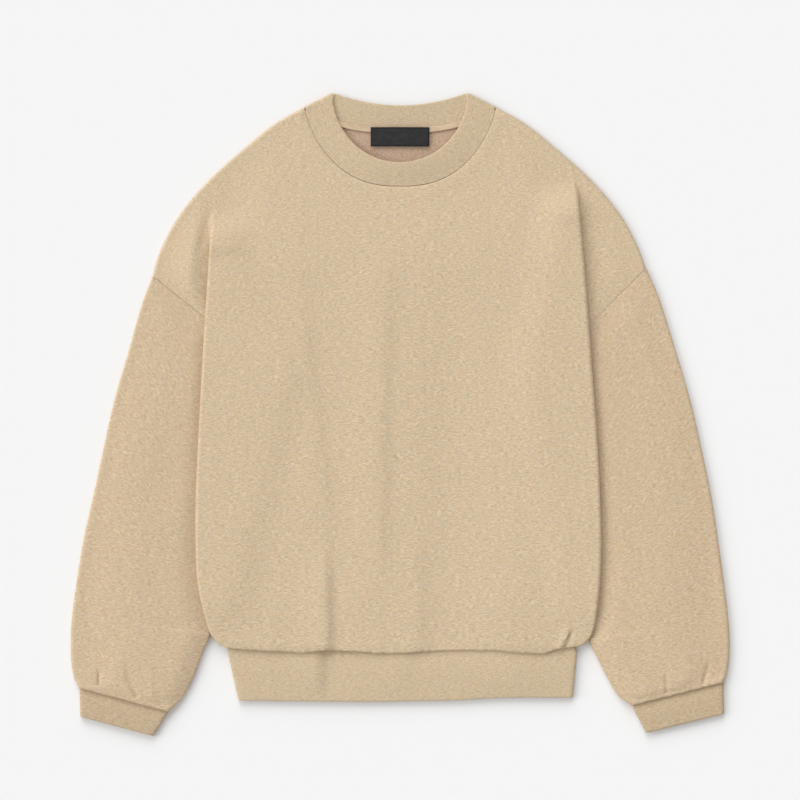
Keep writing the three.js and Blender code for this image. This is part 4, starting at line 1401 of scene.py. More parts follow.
    def make(self) -> bpy.types.Object:
        """Builds the panel from a body grid, a yoke grid and the shoulder's turned edge.

        Returns:
            The piece.
        """
        plan = self.plan
        rows = [np.arange(*row) for row in self.body_rows]
        body_y = np.concatenate([*rows, [RIGHT.underarm[1]]])[:, None]
        lip_share = np.array(self.lip_shares)[:, None]
        rise = np.concatenate([np.linspace(*self.yoke_rows), self.top_shares])[:, None]
        halves = []
        for side in (RIGHT, LEFT):
            low = np.concatenate([self.chest(side, body_y), self.side_bend(side, body_y)], axis=1)
            body = np.concatenate([self.lip(side, lip_share), low])
            yoke_y = mix(side.underarm[1], plan.top_row(side), rise)
            inner = np.concatenate([self.chest(side, yoke_y), self.fold(side, yoke_y)], axis=1)
            wing = plan.wing(side, inner[:, -1, :2], yoke_y, plan.second, self.wing_columns)
            wing[:, :, 2] += self.wing_relief(side, wing, inner[:, -1:, 0], yoke_y, rise)
            yoke = np.concatenate([inner, wing], axis=1)
            halves.append((body, yoke, self.turned_edge(side, yoke[-1])))
        (right_body, right_yoke, right_edge), (left_body, left_yoke, left_edge) = halves
        grids = [
            both_sides(right_body, left_body),
            both_sides(right_yoke, left_yoke),
            right_edge[:, ::-1] * MIRROR,
            left_edge,
        ]
        sheets = [Sheet.flat(grid, plan.fleece) for grid in grids]
        upper = sheets[0].points[:len(lip_share), :, 2] > plan.lip_floor
        thin = mix(plan.fleece / 2, plan.lip_half, lip_share**1.5)
        sheets[0].half[:len(lip_share)] = np.where(upper, thin, plan.fleece / 2)
        return self.piece(sheets)

    def wing_relief(
        self, side: Side, wing: np.ndarray, start: np.ndarray, y: np.ndarray, rise: np.ndarray
    ) -> np.ndarray:
        """How far the wing stands up: it rises outward from the body's edge, at once or as an eased
        curve, and sinks to the armhole and the shoulder.

        Args:
            side: which half.
            wing: its rows and columns of points.
            start: x where each row begins.
            y: height of each row.
            rise: share of each row up the yoke.

        Returns:
            Heights in millimetres.
        """
        edge = np.maximum(side.edge.at(wing[:, :, 1]), start)
        off = np.clip((wing[:, :, 0] - edge) / side.wing_reach, 0, 1)
        opened = ease(side.pleat_top - self.soft[0], side.pleat_top - self.soft[1], y)
        hollow = np.maximum(side.wing_hollow, opened)
        swell = mix(1 - (1 - off) ** 2, ease(0, 1, off), hollow)
        outward = ease(1, self.wing_flat[0], steps(self.wing_columns))
        return side.wing_puff * swell * outward * ease(1, self.wing_flat[1], rise)

    def turned_edge(self, side: Side, top: np.ndarray) -> np.ndarray:
        """Shoulder edge turned down to the surface: a quarter of an ellipse from the top row.

        Args:
            side: which half.
            top: points of the panel's top row.

        Returns:
            Rows of points outside the neck.
        """
        plan = self.plan
        row = top[self.neck_columns:]
        normals = plan.shoulder_normal(row[:, 0])
        _, outer = plan.shoulder_line(side, self.wing_columns)
        normals[-self.wing_columns:] = outer
        angle = (np.pi / 2 * np.linspace(0, 1, self.edge_steps))[:, None]
        reach = (plan.shoulder_inset - plan.fleece / 2) * np.sin(angle)
        flat = row[None, :, :2] + normals[None] * reach[:, :, None]
        to_neck = normals[0, ::-1] * MIRROR[:2] * self.corner * np.sin(angle)
        shares = np.array(self.corner_shares)[None, :, None]
        flat[:, :len(self.corner_shares)] += to_neck[:, None, :] * shares
        z = self.edge_low + (row[None, :, 2] - self.edge_low) * np.cos(angle)
        return np.concatenate([flat, z[:, :, None]], axis=2)

    @staticmethod
    def piece(sheets: list[Sheet]) -> bpy.types.Object:
        """Makes the piece, fleece outside and brushed inside, and hides the frame's own part for it.

        Args:
            sheets: grids of middle points.

        Returns:
            The piece.
        """
        made = shell("front_cloth", sheets, [FLEECE_FACE.make(), FLEECE_INSIDE.make()])
        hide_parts("front")
        return made


@dataclass
class BackPanel:
    """The back: flat on the surface, with flaps over the sleeves and wings under them."""

    plan: Plan = PLAN
    neck_columns: int = 22
    ramp_columns: int = 22
    flap_columns: int = 16
    wing_columns: int = 14
    body_rows: tuple[float, float, float] = (-269, 46, 4.0)
    yoke_rows: int = 56
    inset: float = 0.4
    neck_inset: float = 0.8
    ramp_gap: float = 3.0
    neck_gap: float = 4.0
    edge_gap: float = 6.0
    ramp_share: float = 0.85
    flap_shift: float = -1.5
    flap_narrow: tuple[float, float] = (-235.0, -262.0)
    wing_ramp: float = 11.0
    hollows: tuple[Crease, ...] = (
        Crease((-70, 150), (-60, -210), 16, 0.9, 6),
        Crease((80, 120), (64, -225), 14, 0.8, -5),
        Crease((6, 60), (-4, -240), 18, 0.6, 4),
        Crease((-30, 300), (-90, 190), 16, 0.5, 5),
        Crease((40, 295), (110, 180), 15, 0.5, -5),
    )

    def inner(self, side: Side, y: np.ndarray) -> np.ndarray:
        """Points from the middle line to just inside the underarm's line, alike in both grids.

        Args:
            side: which half.
            y: heights on the plan.

        Returns:
            Rows of points, with x outward.
        """
        plan = self.plan
        top = plan.top_row(side)
        up = np.clip((y - side.underarm[1]) / (top - side.underarm[1]), 0, 1) ** 2
        end = plan.chest_end(side, y)
        step = steps(self.neck_columns, 0)
        crowded = (plan.neck_half - self.neck_inset) * np.sin(np.pi / 2 * step)
        neck = mix(plan.neck_half * plan.neck_even * step, crowded, up)
        even = ease(side.underarm[1], top, y) ** 2
        last = np.maximum(plan.inside(side, y) - self.ramp_gap, plan.neck_half + self.neck_gap)
        last = np.minimum(last, end - self.edge_gap)
        last = mix(last, mix(plan.neck_half, end, self.ramp_share), even)
        ramp = mix(neck[:, -1:], last, steps(self.ramp_columns))
        x = np.concatenate([neck, ramp], axis=1)
        shoulder = plan.top_y(np.maximum(x, plan.neck_half)) - self.inset
        top_at = np.where(x < plan.neck_half, np.minimum(plan.back_neck(x), shoulder), shoulder)
        height = y + (top_at - top) * up
        level = plan.flap_level(side, x, y) + relief_of(self.hollows, side.sign * x, height)
        return np.stack([x, height, level], axis=2)

    def make(self, tape: bpy.types.Object) -> bpy.types.Object:
        """Builds the panel from a body grid and a yoke grid.

        Args:
            tape: the tape that is sewn over its neck seam; not used.

        Returns:
            The piece.
        """
        plan = self.plan
        ends = ([plan.hem_y + plan.seam], [RIGHT.underarm[1]])
        body_y = np.concatenate([ends[0], np.arange(*self.body_rows), ends[1]])[:, None]
        rise = np.linspace(0, 1, self.yoke_rows)[:, None]
        halves = []
        for side in (RIGHT, LEFT):
            inner = self.inner(side, body_y)
            lowest = body_y <= self.body_rows[0]
            end = plan.chest_end(side, np.where(lowest, plan.hem_y + plan.swell[0], body_y))
            gap = mix(plan.seam, 5 * plan.seam, ease(*self.flap_narrow, body_y))
            x = mix(inner[:, -1:, 0], end - plan.ledge - gap, steps(self.flap_columns))
            shift = self.flap_shift * (body_y == side.underarm[1]) * steps(self.flap_columns)
            flap = np.stack([x, body_y + shift, plan.flap_level(side, x, body_y)], axis=2)
            yoke_y = mix(side.underarm[1], plan.top_row(side), rise)
            yoke = self.inner(side, yoke_y)
            wing = plan.wing(side, yoke[:, -1, :2], yoke_y, plan.ground, self.wing_columns)
            off = np.linalg.norm(wing[:, :, :2] - yoke[:, -1:, :2], axis=2)
            wing[:, :, 2] += (yoke[:, -1:, 2] - plan.ground) * (1 - ease(0, self.wing_ramp, off))
            halves.append((np.concatenate([inner, flap], axis=1), np.concatenate([yoke, wing], axis=1)))
        (right_body, right_yoke), (left_body, left_yoke) = halves
        grids = [both_sides(right_body, left_body), both_sides(right_yoke, left_yoke)]
        sheets = [Sheet.flat(grid, plan.fleece) for grid in grids]
        made = shell("back_cloth", sheets, [FLEECE_INSIDE.make(), FLEECE_FACE.make()])
        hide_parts("back")
        return made


def flat_ring(
    outer: np.ndarray, inner: np.ndarray, wall: float, low: float,
    high: Callable[[np.ndarray], np.ndarray], upper: int, under: int, arc: int = 8,
) -> np.ndarray:
    """Rings of middle points round a flattened tube: an upper line whose height follows high, a
    half circle down at the inner end, a flat under line, and a half circle up at the outer end.

    Args:
        outer: a plan point for each ring.
        inner: the same at the other end.
        wall: thickness of the cloth.
        low: middle height of the under cloth.
        high: takes shares across, with a row for each ring, and gives middle heights.
        upper: steps of the upper line.
        under: steps of the under line.
        arc: steps of each half circle.

    Returns:
        A row of points for each ring, whose last point is its first.
    """
    length = np.linalg.norm(inner - outer, axis=1)[:, None]
    across = (inner - outer) / length
    ends = high(np.array([[0.0, 1.0]]) + np.zeros((len(outer), 1)))
    outer_radius, inner_radius = (ends[:, :1] - low) / 2, (ends[:, 1:] - low) / 2
    start, stop = wall / 2 + outer_radius, length - wall / 2 - inner_radius
    share = steps(upper, 0) + np.zeros((len(outer), 1))
    down = np.arange(1, arc)[None, :] * np.pi / arc
    back = steps(under, 0)
    run = np.concatenate([
        mix(start, stop, share),
        stop + inner_radius * np.sin(down),
        mix(stop, start, back),
        start - outer_radius * np.sin(down),
        start,
    ], axis=1)
    z = np.concatenate([
        high(share),
        low + inner_radius * (1 + np.cos(down)),
        low + np.zeros_like(mix(stop, start, back)),
        low + outer_radius * (1 - np.cos(down)),
        high(share)[:, :1],
    ], axis=1)
    flat = outer[:, None, :] + across[:, None, :] * run[:, :, None]
    return np.concatenate([flat, z[:, :, None]], axis=2)


def axis_of(outer: np.ndarray, inner: np.ndarray) -> np.ndarray:
    """Direction up the sleeve, square to the line between two plan points.

    Args:
        outer: a plan point.
        inner: the other one.

    Returns:
        A unit vector that points towards the neck.
    """
    across = unit(inner - outer)
    axis = np.array([-across[1], across[0]])
    return axis if axis[1] > 0 else -axis


@dataclass
class Sleeve:
    """A sleeve: a flattened tube from the armhole to a lip over its cuff."""

    side: Side
    name: str
    creases: tuple[Crease, ...]
    plan: Plan = PLAN
    upper: int = 56
    under: int = 26
    stand: float = 1.6
    free_edge: float = 1.2
    puff: tuple[float, float] = (2.6, 4.6)
    armhole_gap: float = 0.16
    lip_up: float = 3.3
    lip_wider: tuple[float, float] = (1.9, 3.0)
    lip_level: tuple[float, float] = (8.6, 6.9)
    lip_shares: tuple[float, ...] = (0.2, 0.4, 0.6, 0.8, 1.0)
    lip_turn: tuple[float, float] = (2.7, 1.5)
    lip_ripple: Ripple = Ripple(0.35, 17, 0.8)
    waves: tuple[Ripple, ...] = (Ripple(0.3, 80, 2.1), Ripple(0.14, 34, 0.3))
    top_rows: tuple[float, ...] = (0, 0.015, 0.035, 0.06, 0.1, 0.15, 0.22, 0.3)
    even_rows: tuple[float, float, int] = (0.4, 0.12, 116)
    head_inset: float = 0.02
    hump_end: float = 0.82
    calm: tuple[float, float] = (0.12, 0.9)
    covered: tuple[float, float] = (14.0, 2.0)
    dip: float = 0.5
    dip_width: float = 1.5
    seam_column: int = 10
    samples: int = 160

    def across_cuff(self) -> np.ndarray:
        """Direction along the cuff's seam, from its outer to its inner end."""
        return unit(np.array(self.side.cuff[2:]) - np.array(self.side.cuff[:2]))

    def ends(self, at: np.ndarray) -> tuple[np.ndarray, np.ndarray]:
        """Outer and inner plan points of rings, on smooth lines through the side's table.

        Args:
            at: place along the table, where 0 is the armhole and the last row the open lip.

        Returns:
            Outer and inner points.
        """
        side = self.side
        outer, inner = np.array(side.shoulder_end), np.array(side.armhole_foot)
        down = -self.armhole_gap * axis_of(outer, inner)
        outer, inner = outer + 2 * down, inner + down
        inner = mix(inner, outer, self.head_inset)
        cuff = np.array(side.cuff)
        axis = axis_of(cuff[:2], cuff[2:])
        wider = self.across_cuff() * self.lip_wider[0]
        last = np.concatenate([cuff[:2] - wider, cuff[2:] + wider]) + np.tile(axis * self.lip_up, 2)
        table = np.vstack([np.concatenate([outer, inner]), np.array(side.sleeve), last])
        lines = [Curve(tuple(enumerate(column))).at(at) for column in table.T]
        return np.stack(lines[:2], axis=1), np.stack(lines[2:], axis=1)

    def open_share(self, outer: np.ndarray, inner: np.ndarray) -> np.ndarray:
        """Share of each section, from its outer edge, that the body leaves uncovered.

        Args:
            outer: outer plan point of each section.
            inner: inner plan point of each.

        Returns:
            A share for each section.
        """
        share = np.linspace(1, 0, self.samples)
        points = outer[:, None, :] + (inner - outer)[:, None, :] * share[None, :, None]
        x, y = points[:, :, 0], points[:, :, 1]
        clear = (x >= self.side.edge.at(y)) | (y < self.side.sleeve_exit[1])
        return share[np.argmax(clear, axis=1)][:, None]

    def rings(self, at: np.ndarray) -> np.ndarray:
        """Rings along the sleeve: low at the armhole and under the body, puffed outside it.

        Args:
            at: place of each ring along the table.

        Returns:
            Rows of points, with x outward.
        """
        plan = self.plan
        outer, inner = self.ends(at)
        opened = self.open_share(outer, inner)
        full = ease(-1, 8, at - 1)[:, None]
        start = ease(0, 1, at)[:, None]
        last = len(self.side.sleeve)
        lip = ease(last, last + 1, at)[:, None]

        def high(share: np.ndarray) -> np.ndarray:
            """Level of the upper cloth: eased from the outer to the inner edge, with a hump."""
            way = np.clip(share / opened, 0, 1)
            fall = 1 - np.clip((way - self.hump_end) / (1 - self.hump_end), 0, 1) ** 2
            hump = ease(0, 0.5, way) * fall * mix(*self.puff, full)
            inner_level = plan.second + self.free_edge * (opened >= 1)
            side_level = mix(plan.second + self.stand * full, inner_level, ease(0.2, 1, way))
            level = mix(plan.second, side_level + hump, start)
            return mix(level, self.lip_level[0], lip)

        return flat_ring(outer, inner, plan.fleece, plan.ground, high, self.upper, self.under)

    def dress(self, rings: np.ndarray) -> np.ndarray:
        """Adds the creases to the upper cloth outside the body, and the dip of the armhole seam.

        Args:
            rings: rows of points, with x outward.

        Returns:
            The same, dressed.
        """
        count = self.upper + 1
        x, y = rings[:, :count, 0], rings[:, :count, 1]
        share = steps(self.upper, 0)
        edge = self.side.edge.at(y)
        bare = ease(edge - self.covered[0], edge + self.covered[1], x)
        bare = np.where(y < self.side.sleeve_exit[1], 1.0, bare)
        fade = ease(0, self.calm[0], share) * ease(1.0, self.calm[1], share) * bare
        rings = rings.copy()
        rings[:, :count, 2] += relief_of(self.creases + self.waves, self.side.sign * x, y) * fade
        gaps = np.linalg.norm(np.diff(rings[:, self.seam_column, :2], axis=0), axis=1)
        run = np.concatenate([[0], np.cumsum(gaps)])
        rings[:, :count, 2] -= self.dip * np.exp(-((run / self.dip_width) ** 2))[:, None]
        return rings

    def make(self) -> bpy.types.Object:
        """Builds the sleeve and the lip that turns down on its cuff.

        Returns:
            The piece.
        """
        last = len(self.side.sleeve) + 1
        start, short, count = self.even_rows
        at = np.concatenate([self.top_rows, np.linspace(start, last - short, count), [last]])
        body = self.dress(self.rings(at))
        lip = self.lip(body[-1])
        points = np.concatenate([body, lip])
        points[:, :, 0] *= self.side.sign
        if self.side.sign < 0:
            points = points[:, ::-1]
        sheet = Sheet.tube(points, self.plan.fleece)
        thin = mix(self.plan.fleece / 2, self.plan.lip_half, np.array(self.lip_shares)[:, None] ** 1.5)
        upper = points[-len(thin):, :, 2] > self.plan.ground + 2.0
        sheet.half[-len(thin):] = np.where(upper, thin, self.plan.fleece / 2)
        made = shell(f"{self.name}_cloth", [sheet], [SLEEVE_FACE.make()])
        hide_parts(self.name)
        return made

    def lip(self, opened: np.ndarray) -> np.ndarray:
        """Lip over the cuff: from the open ring to one drawn in round the cuff, by a quarter turn.

        Args:
            opened: the last ring of the sleeve.

        Returns:
            Rings of points.
        """
        cuff = np.array(self.side.cuff)
        axis = axis_of(cuff[:2], cuff[2:])
        wider = self.across_cuff() * self.lip_wider[1]
        shut = flat_ring(
            (cuff[:2] - wider)[None], (cuff[2:] + wider)[None], self.plan.fleece, self.plan.ground,
            lambda share: self.lip_level[1] + 0 * share, self.upper, self.under,
        )[0]
        is_under = opened[:, 2] < self.plan.ground + 0.01
        base = opened - np.array([*axis * self.lip_up, 0.0])
        rings = []
        for share in self.lip_shares:
            turned = math.sin(math.pi / 2 * share)
            up = self.lip_up - np.where(is_under, *self.lip_turn) * turned
            wave = self.lip_ripple.relief(base[:, 0], base[:, 1])
            ring = mix(base, shut, share**2)
            ring[:, :2] += axis * (up + np.where(is_under, 0, wave * turned))[:, None]
            rings.append(ring)
        return np.stack(rings)


@dataclass
class RibBand:
    """A doubled rib band, flattened: its seam end is tucked under the lip above it."""

    node: str
    top: tuple[np.ndarray, np.ndarray]
    foot: tuple[np.ndarray, np.ndarray]
    into: np.ndarray
    flat: tuple[float, float]
    area: float
    upper: int
    finish: HeatherFinish
    creases: tuple[Crease, ...] = ()
    foot_wave: Curve = Curve(((-1000, 0), (1000, 0)))
    plan: Plan = PLAN
    space: float = 1.2
    seam_space: float = 0.15
    tuck: float = 5.5
    tuck_inset: float = 2.5
    under_tuck: float = 0.6
    crown: float = 0.5
    crown_power: float = 0.3
    widened: float = 0.4
    wave_start: float = 0.2
    top_rows: tuple[float, ...] = (0.0, 0.0, 0.03, 0.07)
    even_rows: tuple[float, float, int] = (0.12, 0.88, 12)
    foot_rows: tuple[float, ...] = (0.93, 0.97, 1.0)

    def make(self, flipped: bool) -> bpy.types.Object:
        """Builds the band.

        Args:
            flipped: True where its outer end is on the wearer's right.

        Returns:
            The piece.
        """
        low = self.plan.rib / 2
        share = np.concatenate([self.top_rows, np.linspace(*self.even_rows), self.foot_rows])
        outer = mix(self.top[0], self.foot[0], share[:, None])
        inner = mix(self.top[1], self.foot[1], share[:, None])
        crown = self.crown * np.sin(np.pi * share)[:, None]
        space = mix(self.seam_space, self.space, ease(0.0, self.widened, share))[:, None]

        def high(across: np.ndarray) -> np.ndarray:
            """Level of the upper layer: down at the seam, and slightly crowned above the fold."""
            arch = np.sin(np.pi * np.clip(across, 0, 1)) ** self.crown_power
            return low + self.plan.rib + space + crown * arch

        rings = flat_ring(outer, inner, self.plan.rib, low, high, self.upper, max(self.upper // 2, 6))
        is_upper = rings[:, :, 2] > low + self.plan.rib / 2
        middle = (self.top[0] + self.top[1]) / 2
        length = np.linalg.norm(self.top[1] - self.top[0])
        narrow = np.where(is_upper[0], 1 - 2 * self.tuck_inset / length, 1.0)[:, None]
        reach = np.where(is_upper[0], self.tuck, -self.plan.seam / 2)[:, None]
        rings[0, :, :2] = middle + (rings[0, :, :2] - middle) * narrow + self.into * reach
        rings[1, :, :2] -= np.where(is_upper[1], 0.0, self.under_tuck)[:, None] * self.into
        x, y = rings[:, :, 0], rings[:, :, 1]
        rings[:, :, 2] += np.where(is_upper, relief_of(self.creases, x, y), 0)
        rings[:, :, 1] += self.foot_wave.at(x) * ease(self.wave_start, 1, share)[:, None]
        if flipped:
            rings = rings[:, ::-1]
        sheet = Sheet.tube(rings, self.plan.rib).rounded(0, True)
        made = shell(f"{self.node}_cloth", [sheet], [self.finish.make()])
        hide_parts(self.node)
        return made


@dataclass
class Collar:
    """The rib collar: a closed band, folded flat at the shoulders, front half over back half."""

    plan: Plan = PLAN
    half: float = 78.0
    edge_y: float = 373.2
    drop: float = 81.0
    back_drop: float = 14.8
    back_lift: float = 2.4
    front_start: float = 0.12
    back_start: float = 0.33
    stand: float = 5.0
    bend: float = 1.75
    inset: tuple[float, float] = (0.9965, 0.989)
    columns: int = 40
    crown: float = 0.55
    seam_sink: float = 0.8
    back_inset: float = 0.99
    back_seam: float = 0.4
    tip_seam: tuple[float, float] = (110.7, 356.9)
    rows: tuple[float, float, int] = (0.15, 0.88, 9)

    def front(self, share: np.ndarray) -> np.ndarray:
        """Front half from the middle to the shoulder: the seam follows the neckline and the free
        edge half an ellipse, and the band climbs between their heights.

        Args:
            share: rows across the band, 0 at the seam.

        Returns:
            Rows of points.
        """
        plan = self.plan
        angle = mix(np.pi / 2, self.front_start, np.arange(self.columns) / (self.columns - 1))[None, :]
        across = np.cos(angle)
        seam_x = plan.neck_half * across
        seam_y = plan.neck_y + (plan.front_neck(seam_x) - plan.neck_y) * self.inset[1]
        x = mix(seam_x * self.inset[0], self.half * across, share)
        y = mix(seam_y, self.edge_y - self.drop * np.sin(angle), share)
        edge_z = plan.rib / 2 + 2 * self.bend + self.stand * np.sin(angle) ** 2
        seam_z = plan.neck_level(seam_x) - self.seam_sink
        z = mix(seam_z, edge_z, (ease(0, 1, share) + share) / 2)
        return np.stack([x, y, z + self.crown * np.sin(np.pi * share) * np.sin(angle)], axis=2)

    def tip(self, share: np.ndarray) -> np.ndarray:
        """Fold at the shoulder: a half circle down from the front half to the back half.

        Args:
            share: rows across the band, 0 at the seam.

        Returns:
            Rows of points.
        """
        seam, edge = np.array(self.tip_seam), np.array([self.half, self.edge_y])
        turn = np.linspace(0, np.pi, 9)[None, :]
        along = unit(edge - seam)
        outward = np.array([along[1], -along[0]])
        reach = self.bend * (np.sin(turn) - 1) - self.plan.rib / 2
        flat = seam + (edge - seam) * share[:, :, None] + outward * reach[:, :, None]
        z = self.plan.rib / 2 + self.bend * (1 + np.cos(turn)) + 0 * share
        return np.concatenate([flat, z[:, :, None]], axis=2)

    def back(self, share: np.ndarray) -> np.ndarray:
        """Back half from the shoulder to the middle, between two arches: its free edge stands a
        little off the surface.

        Args:
            share: rows across the band, 0 at the seam.

        Returns:
            Rows of points.
        """
        plan = self.plan
        angle = mix(self.back_start, np.pi / 2, np.arange(self.columns) / (self.columns - 1))[None, :]
        across = np.cos(angle)
        seam_y = plan.back_neck(plan.neck_half * across) + self.back_seam
        edge_y = self.edge_y - self.back_drop * (1 - across**2)
        x = mix(plan.neck_half * self.back_inset, self.half, share) * across
        z = plan.rib / 2 + self.back_lift * share * np.sin(angle)
        return np.stack([x, mix(seam_y, edge_y, share), z], axis=2)

    def joined(self, share: np.ndarray) -> np.ndarray:
        """One half of the collar: front, fold at the shoulder and back."""
        return np.concatenate([self.front(share), self.tip(share), self.back(share)], axis=1)

    def make(self) -> bpy.types.Object:
        """Builds the collar with its free edge rounded.

        Returns:
            The piece.
        """
        share = np.concatenate([[0.0, 0.03, 0.08], np.linspace(*self.rows), [0.94, 1.0]])[:, None]
        half = self.joined(share)
        points = both_sides(half, half)
        sheet = Sheet.tube(points, self.plan.rib, even=True).rounded(0, True)
        made = shell("neck_rib_cloth", [sheet], [RIB_FACE.make()])
        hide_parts("neck_rib")
        return made


@dataclass
class NeckTape:
    """The narrow tape over the back neck seam."""

    plan: Plan = PLAN
    half_length: float = 72.0
    width: float = 6.6
    overlap: float = 0.8
    lift: float = 1.0
    thickness: float = 1.0
    rows: tuple[float, ...] = (1.0, 0.8, 0.5, 0.2, 0.0)

    def make(self) -> bpy.types.Object:
        """Builds a strip that follows the back's collar seam, with its edges rounded.

        Returns:
            The piece.
        """
        x = np.linspace(-self.half_length, self.half_length, 73)[None, :]
        off = -self.width * np.array(self.rows)[:, None]
        y = self.plan.back_neck(np.abs(x)) + self.overlap + off
        z = self.plan.fleece + self.plan.seam + self.thickness / 2 - self.lift * off / self.width + 0 * y
        points = np.stack([x + 0 * y, y, z], axis=2)
        sheet = Sheet.flat(points, self.thickness).rounded(0, True).rounded(0, False)
        made = shell("neck_tape_cloth", [sheet], [TAPE_WEAVE.make()])
        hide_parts("neck_tape")
        return made


@dataclass
class NeckLabel:
    """The plain woven label, which hangs over the tape and sinks to the cloth below it."""

    plan: Plan = PLAN
    width: float = 68.0
    height: float = 22.5
    top: float = 333.0
    over_tape: float = 8.0
    low_share: float = 0.62
    tape_top: float = 1.0
    cloth_top: float = 2.6
    thickness: float = 1.0
    wave: Ripple = Ripple(0.12, 60, 0.5)

    def make(self) -> bpy.types.Object:
        """Builds the label: flat over the tape, then an eased slope down to the cloth.

        Returns:
            The piece.
        """
        cloth = self.plan.fleece + self.plan.seam
        high = cloth + self.plan.seam + 1.5 * self.thickness + self.tape_top
        low = cloth + self.cloth_top + self.thickness / 2
        x = np.linspace(-self.width / 2, self.width / 2, 29)[None, :]
        down = np.linspace(self.height, 0, 19)[:, None]
        sunk = ease(self.over_tape - 1, self.height * self.low_share, down)
        z = mix(high, low, sunk) + self.wave.relief(x, down)
        points = np.stack([x + 0 * down, self.top - down + 0 * x, z], axis=2)
        sheet = Sheet.flat(points, self.thickness)
        for axis in (0, 1):
            sheet = sheet.rounded(axis, True).rounded(axis, False)
        made = shell("neck_label_cloth", [sheet], [LABEL_WEAVE.make()])
        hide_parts("neck_label")
        return made


@dataclass(frozen=True)
class Sun:
    """A far, broad light: lean from straight above, below 0 where it comes from beyond the neck,
    turn about the upright and spread of its disc, all in degrees, and power in watts for each
    square metre."""

    name: str
    lean: float
    turn: float
    spread: float
    power: float
    height: float = 2.0

    def add(self) -> None:
        """Puts the light in the scene."""
        data = bpy.data.lights.new(self.name, "SUN")
        data.angle = math.radians(self.spread)
        data.energy = self.power
        made = placed(self.name, data)
        made.location = (0.0, 0.0, self.height)
        made.rotation_euler = (math.radians(self.lean), 0.0, math.radians(self.turn))


@dataclass
class Studio:
    """Floor, camera and light: the garment is seen from straight above on a pale floor."""

    frame_width: float = 0.928
    view_centre: tuple[float, float] = (-0.00025, 0.0167)
    camera_height: float = 4.5
    sensor: float = 36.0
    clip_end: float = 50.0
    floor_half: float = 6.0
    floor_drop: float = 0.0002
    suns: tuple[Sun, ...] = (
        Sun("key", -57.0, 12.0, 44.0, 1.70),
        Sun("side", -59.0, 82.0, 40.0, 1.36),
        Sun("fill", 55.0, 0.0, 60.0, 0.44),
    )
    sky: float = 0.445

    def camera(self) -> bpy.types.Object:
        """Adds the camera, whose lens takes in the frame's width at the floor.

        Returns:
            The camera.
        """
        data = bpy.data.cameras.new("camera")
        data.sensor_width = self.sensor
        data.lens = self.sensor * self.camera_height / self.frame_width
        data.clip_end = self.clip_end
        made = placed("camera", data)
        made.location = (*self.view_centre, self.camera_height)
        bpy.context.scene.camera = made
        return made

    def floor(self) -> bpy.types.Object:
        """Adds the pale floor, a hair below the garment.

        Returns:
            The floor.
        """
        half = self.floor_half
        corners = [(-half, -half), (half, -half), (half, half), (-half, half)]
        mesh = bpy.data.meshes.new("floor")
        mesh.from_pydata([(x, y, -self.floor_drop) for x, y in corners], [], [(0, 1, 2, 3)])
        graph = Graph("floor_paper")
        paper = {"Base Color": linear(FLOOR_PAPER), "Roughness": 0.9, "Specular IOR Level": 0.1}
        graph.fill(graph.shader, paper)
        mesh.materials.append(graph.material)
        made = placed("floor", mesh)
        return made

    def light(self) -> None:
        """Adds the soft key from beyond the neck, a light from the wearer's right, a weak fill from
        below the hem and the sky."""
        for sun in self.suns:
            sun.add()
        world = bpy.data.worlds.new("sky")
        world.use_nodes = True
        sky = world.node_tree.nodes["Background"].inputs
        sky["Color"].default_value = (1.0, 1.0, 1.0, 1.0)
        sky["Strength"].default_value = self.sky
        bpy.context.scene.world = world
        bpy.context.scene.view_settings.view_transform = "Standard"


def sleeves() -> list[Sleeve]:
    """Both sleeves, with the creases that each shows.

    Returns:
        The right and the left sleeve.
    """
    right = (
        Crease((-348, -292), (-349, -314), 1.8, -2.1, 0, 0.4, 0.0),
        Crease((-320, -290), (-304, -326), 3.2, -2.2, 0, 0.5, 0.0),
        Crease((-330, -270), (-330, -312), 8.0, 0.7, 0, 0.6, 0.0),
        Crease((-285, -280), (-290, -330), 7.0, 0.6, 0, 0.6, 0.0),
        Crease((-362, -120), (-366, -250), 14.0, -1.0, -3),
        Crease((-300, 60), (-334, -170), 20.0, 0.8, -6),
        Crease((-262, 110), (-288, 20), 16.0, -0.6, 4),
        Crease((-250, -40), (-320, -120), 18.0, -0.5, 6),
        Crease((-245, -190), (-300, -240), 16.0, 0.5, 5),
    )
    left = (
        Crease((307, -294), (309, -322), 2.2, -1.9, 0, 0.5, 0.0),
        Crease((359, -282), (351, -312), 2.6, -2.0, 0, 0.5, 0.0),
        Crease((330, -262), (331, -308), 8.0, 0.7, 0, 0.6, 0.0),
        Crease((288, -282), (286, -326), 7.0, 0.5, 0, 0.6, 0.0),
        Crease((366, -100), (368, -240), 14.0, -1.0, 3),
        Crease((300, 66), (336, -160), 20.0, 0.8, 6),
        Crease((258, 112), (284, 26), 16.0, -0.6, -4),
        Crease((254, -60), (322, -140), 18.0, -0.5, -6),
        Crease((248, -180), (304, -236), 16.0, 0.5, -5),
    )
    return [Sleeve(RIGHT, "sleeve_right", right), Sleeve(LEFT, "sleeve_left", left)]


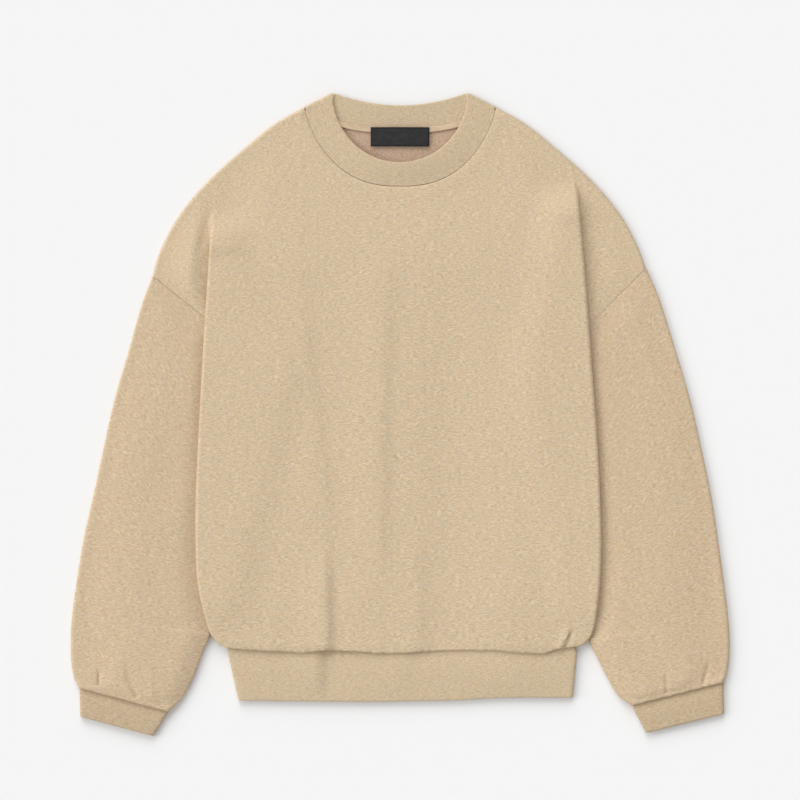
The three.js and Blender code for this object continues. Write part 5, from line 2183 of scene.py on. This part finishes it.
def bands() -> list[tuple[RibBand, bool]]:
    """The hem band and both cuffs, each with whether its outer end is on the wearer's right.

    Returns:
        Each band, with True or False.
    """
    hem_top = (np.array([-RIGHT.hem_half, PLAN.hem_y]), np.array([LEFT.hem_half, PLAN.hem_y]))
    hem_foot = (np.array([-RIGHT.hem_foot[0], RIGHT.hem_foot[1]]), np.array(LEFT.hem_foot))
    wave = Curve((
        (-179, 0.6), (-121, -0.6), (-39, -2.0), (7, -1.5), (65, -0.9), (100, 0.8), (123, 1.6),
        (193, 1.1),
    ))
    creases = (
        Crease((-98, -268), (-95, -330), 22, 1.5, 0, 0.1, 0.4, 4.5),
        Crease((-86, -268), (-83, -330), 3.0, -1.5, 0, 0.1, 0.4, 28),
        Crease((2, -268), (0, -332), 26, 0.8, 0, 0.1, 0.4, 11),
        Crease((134, -268), (130, -332), 52, 1.7, 0, 0.1, 0.4, 36),
    )
    hem = RibBand(
        "hem_rib", hem_top, hem_foot, into=np.array([0.0, 1.0]), flat=(0.81, 0.061), area=0.0484,
        upper=110, finish=RIB_FACE, creases=creases, foot_wave=wave,
    )
    made = [(hem, True)]
    for side, node in ((RIGHT, "cuff_right"), (LEFT, "cuff_left")):
        flip = np.array([side.sign, 1.0])
        top = (np.array(side.cuff[:2]) * flip, np.array(side.cuff[2:]) * flip)
        foot = (np.array(side.cuff_foot[:2]) * flip, np.array(side.cuff_foot[2:]) * flip)
        cuff = RibBand(
            node, top, foot, into=axis_of(*top), flat=(0.215, 0.037), area=0.0076, upper=34,
            finish=CUFF_FACE,
        )
        made.append((cuff, side.sign < 0))
    return made


def main() -> None:
    """Builds the pieces in the order in which a maker would lay them out."""
    logging.basicConfig(level=logging.INFO, format="%(name)s: %(message)s")
    studio = Studio()
    studio.camera()
    studio.floor()
    studio.light()
    tape = NeckTape().make()
    pieces = [tape, BackPanel().make(tape), NeckLabel().make()]
    pieces += [sleeve.make() for sleeve in sleeves()]
    pieces += [FrontPanel().make()]
    pieces += [band.make(flipped) for band, flipped in bands()]
    pieces += [Collar().make()]
    for piece in pieces:
        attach(piece, "root")
        LOG.info("%s: %d faces", piece.name, len(piece.data.polygons))


if __name__ == "__main__":
    main()
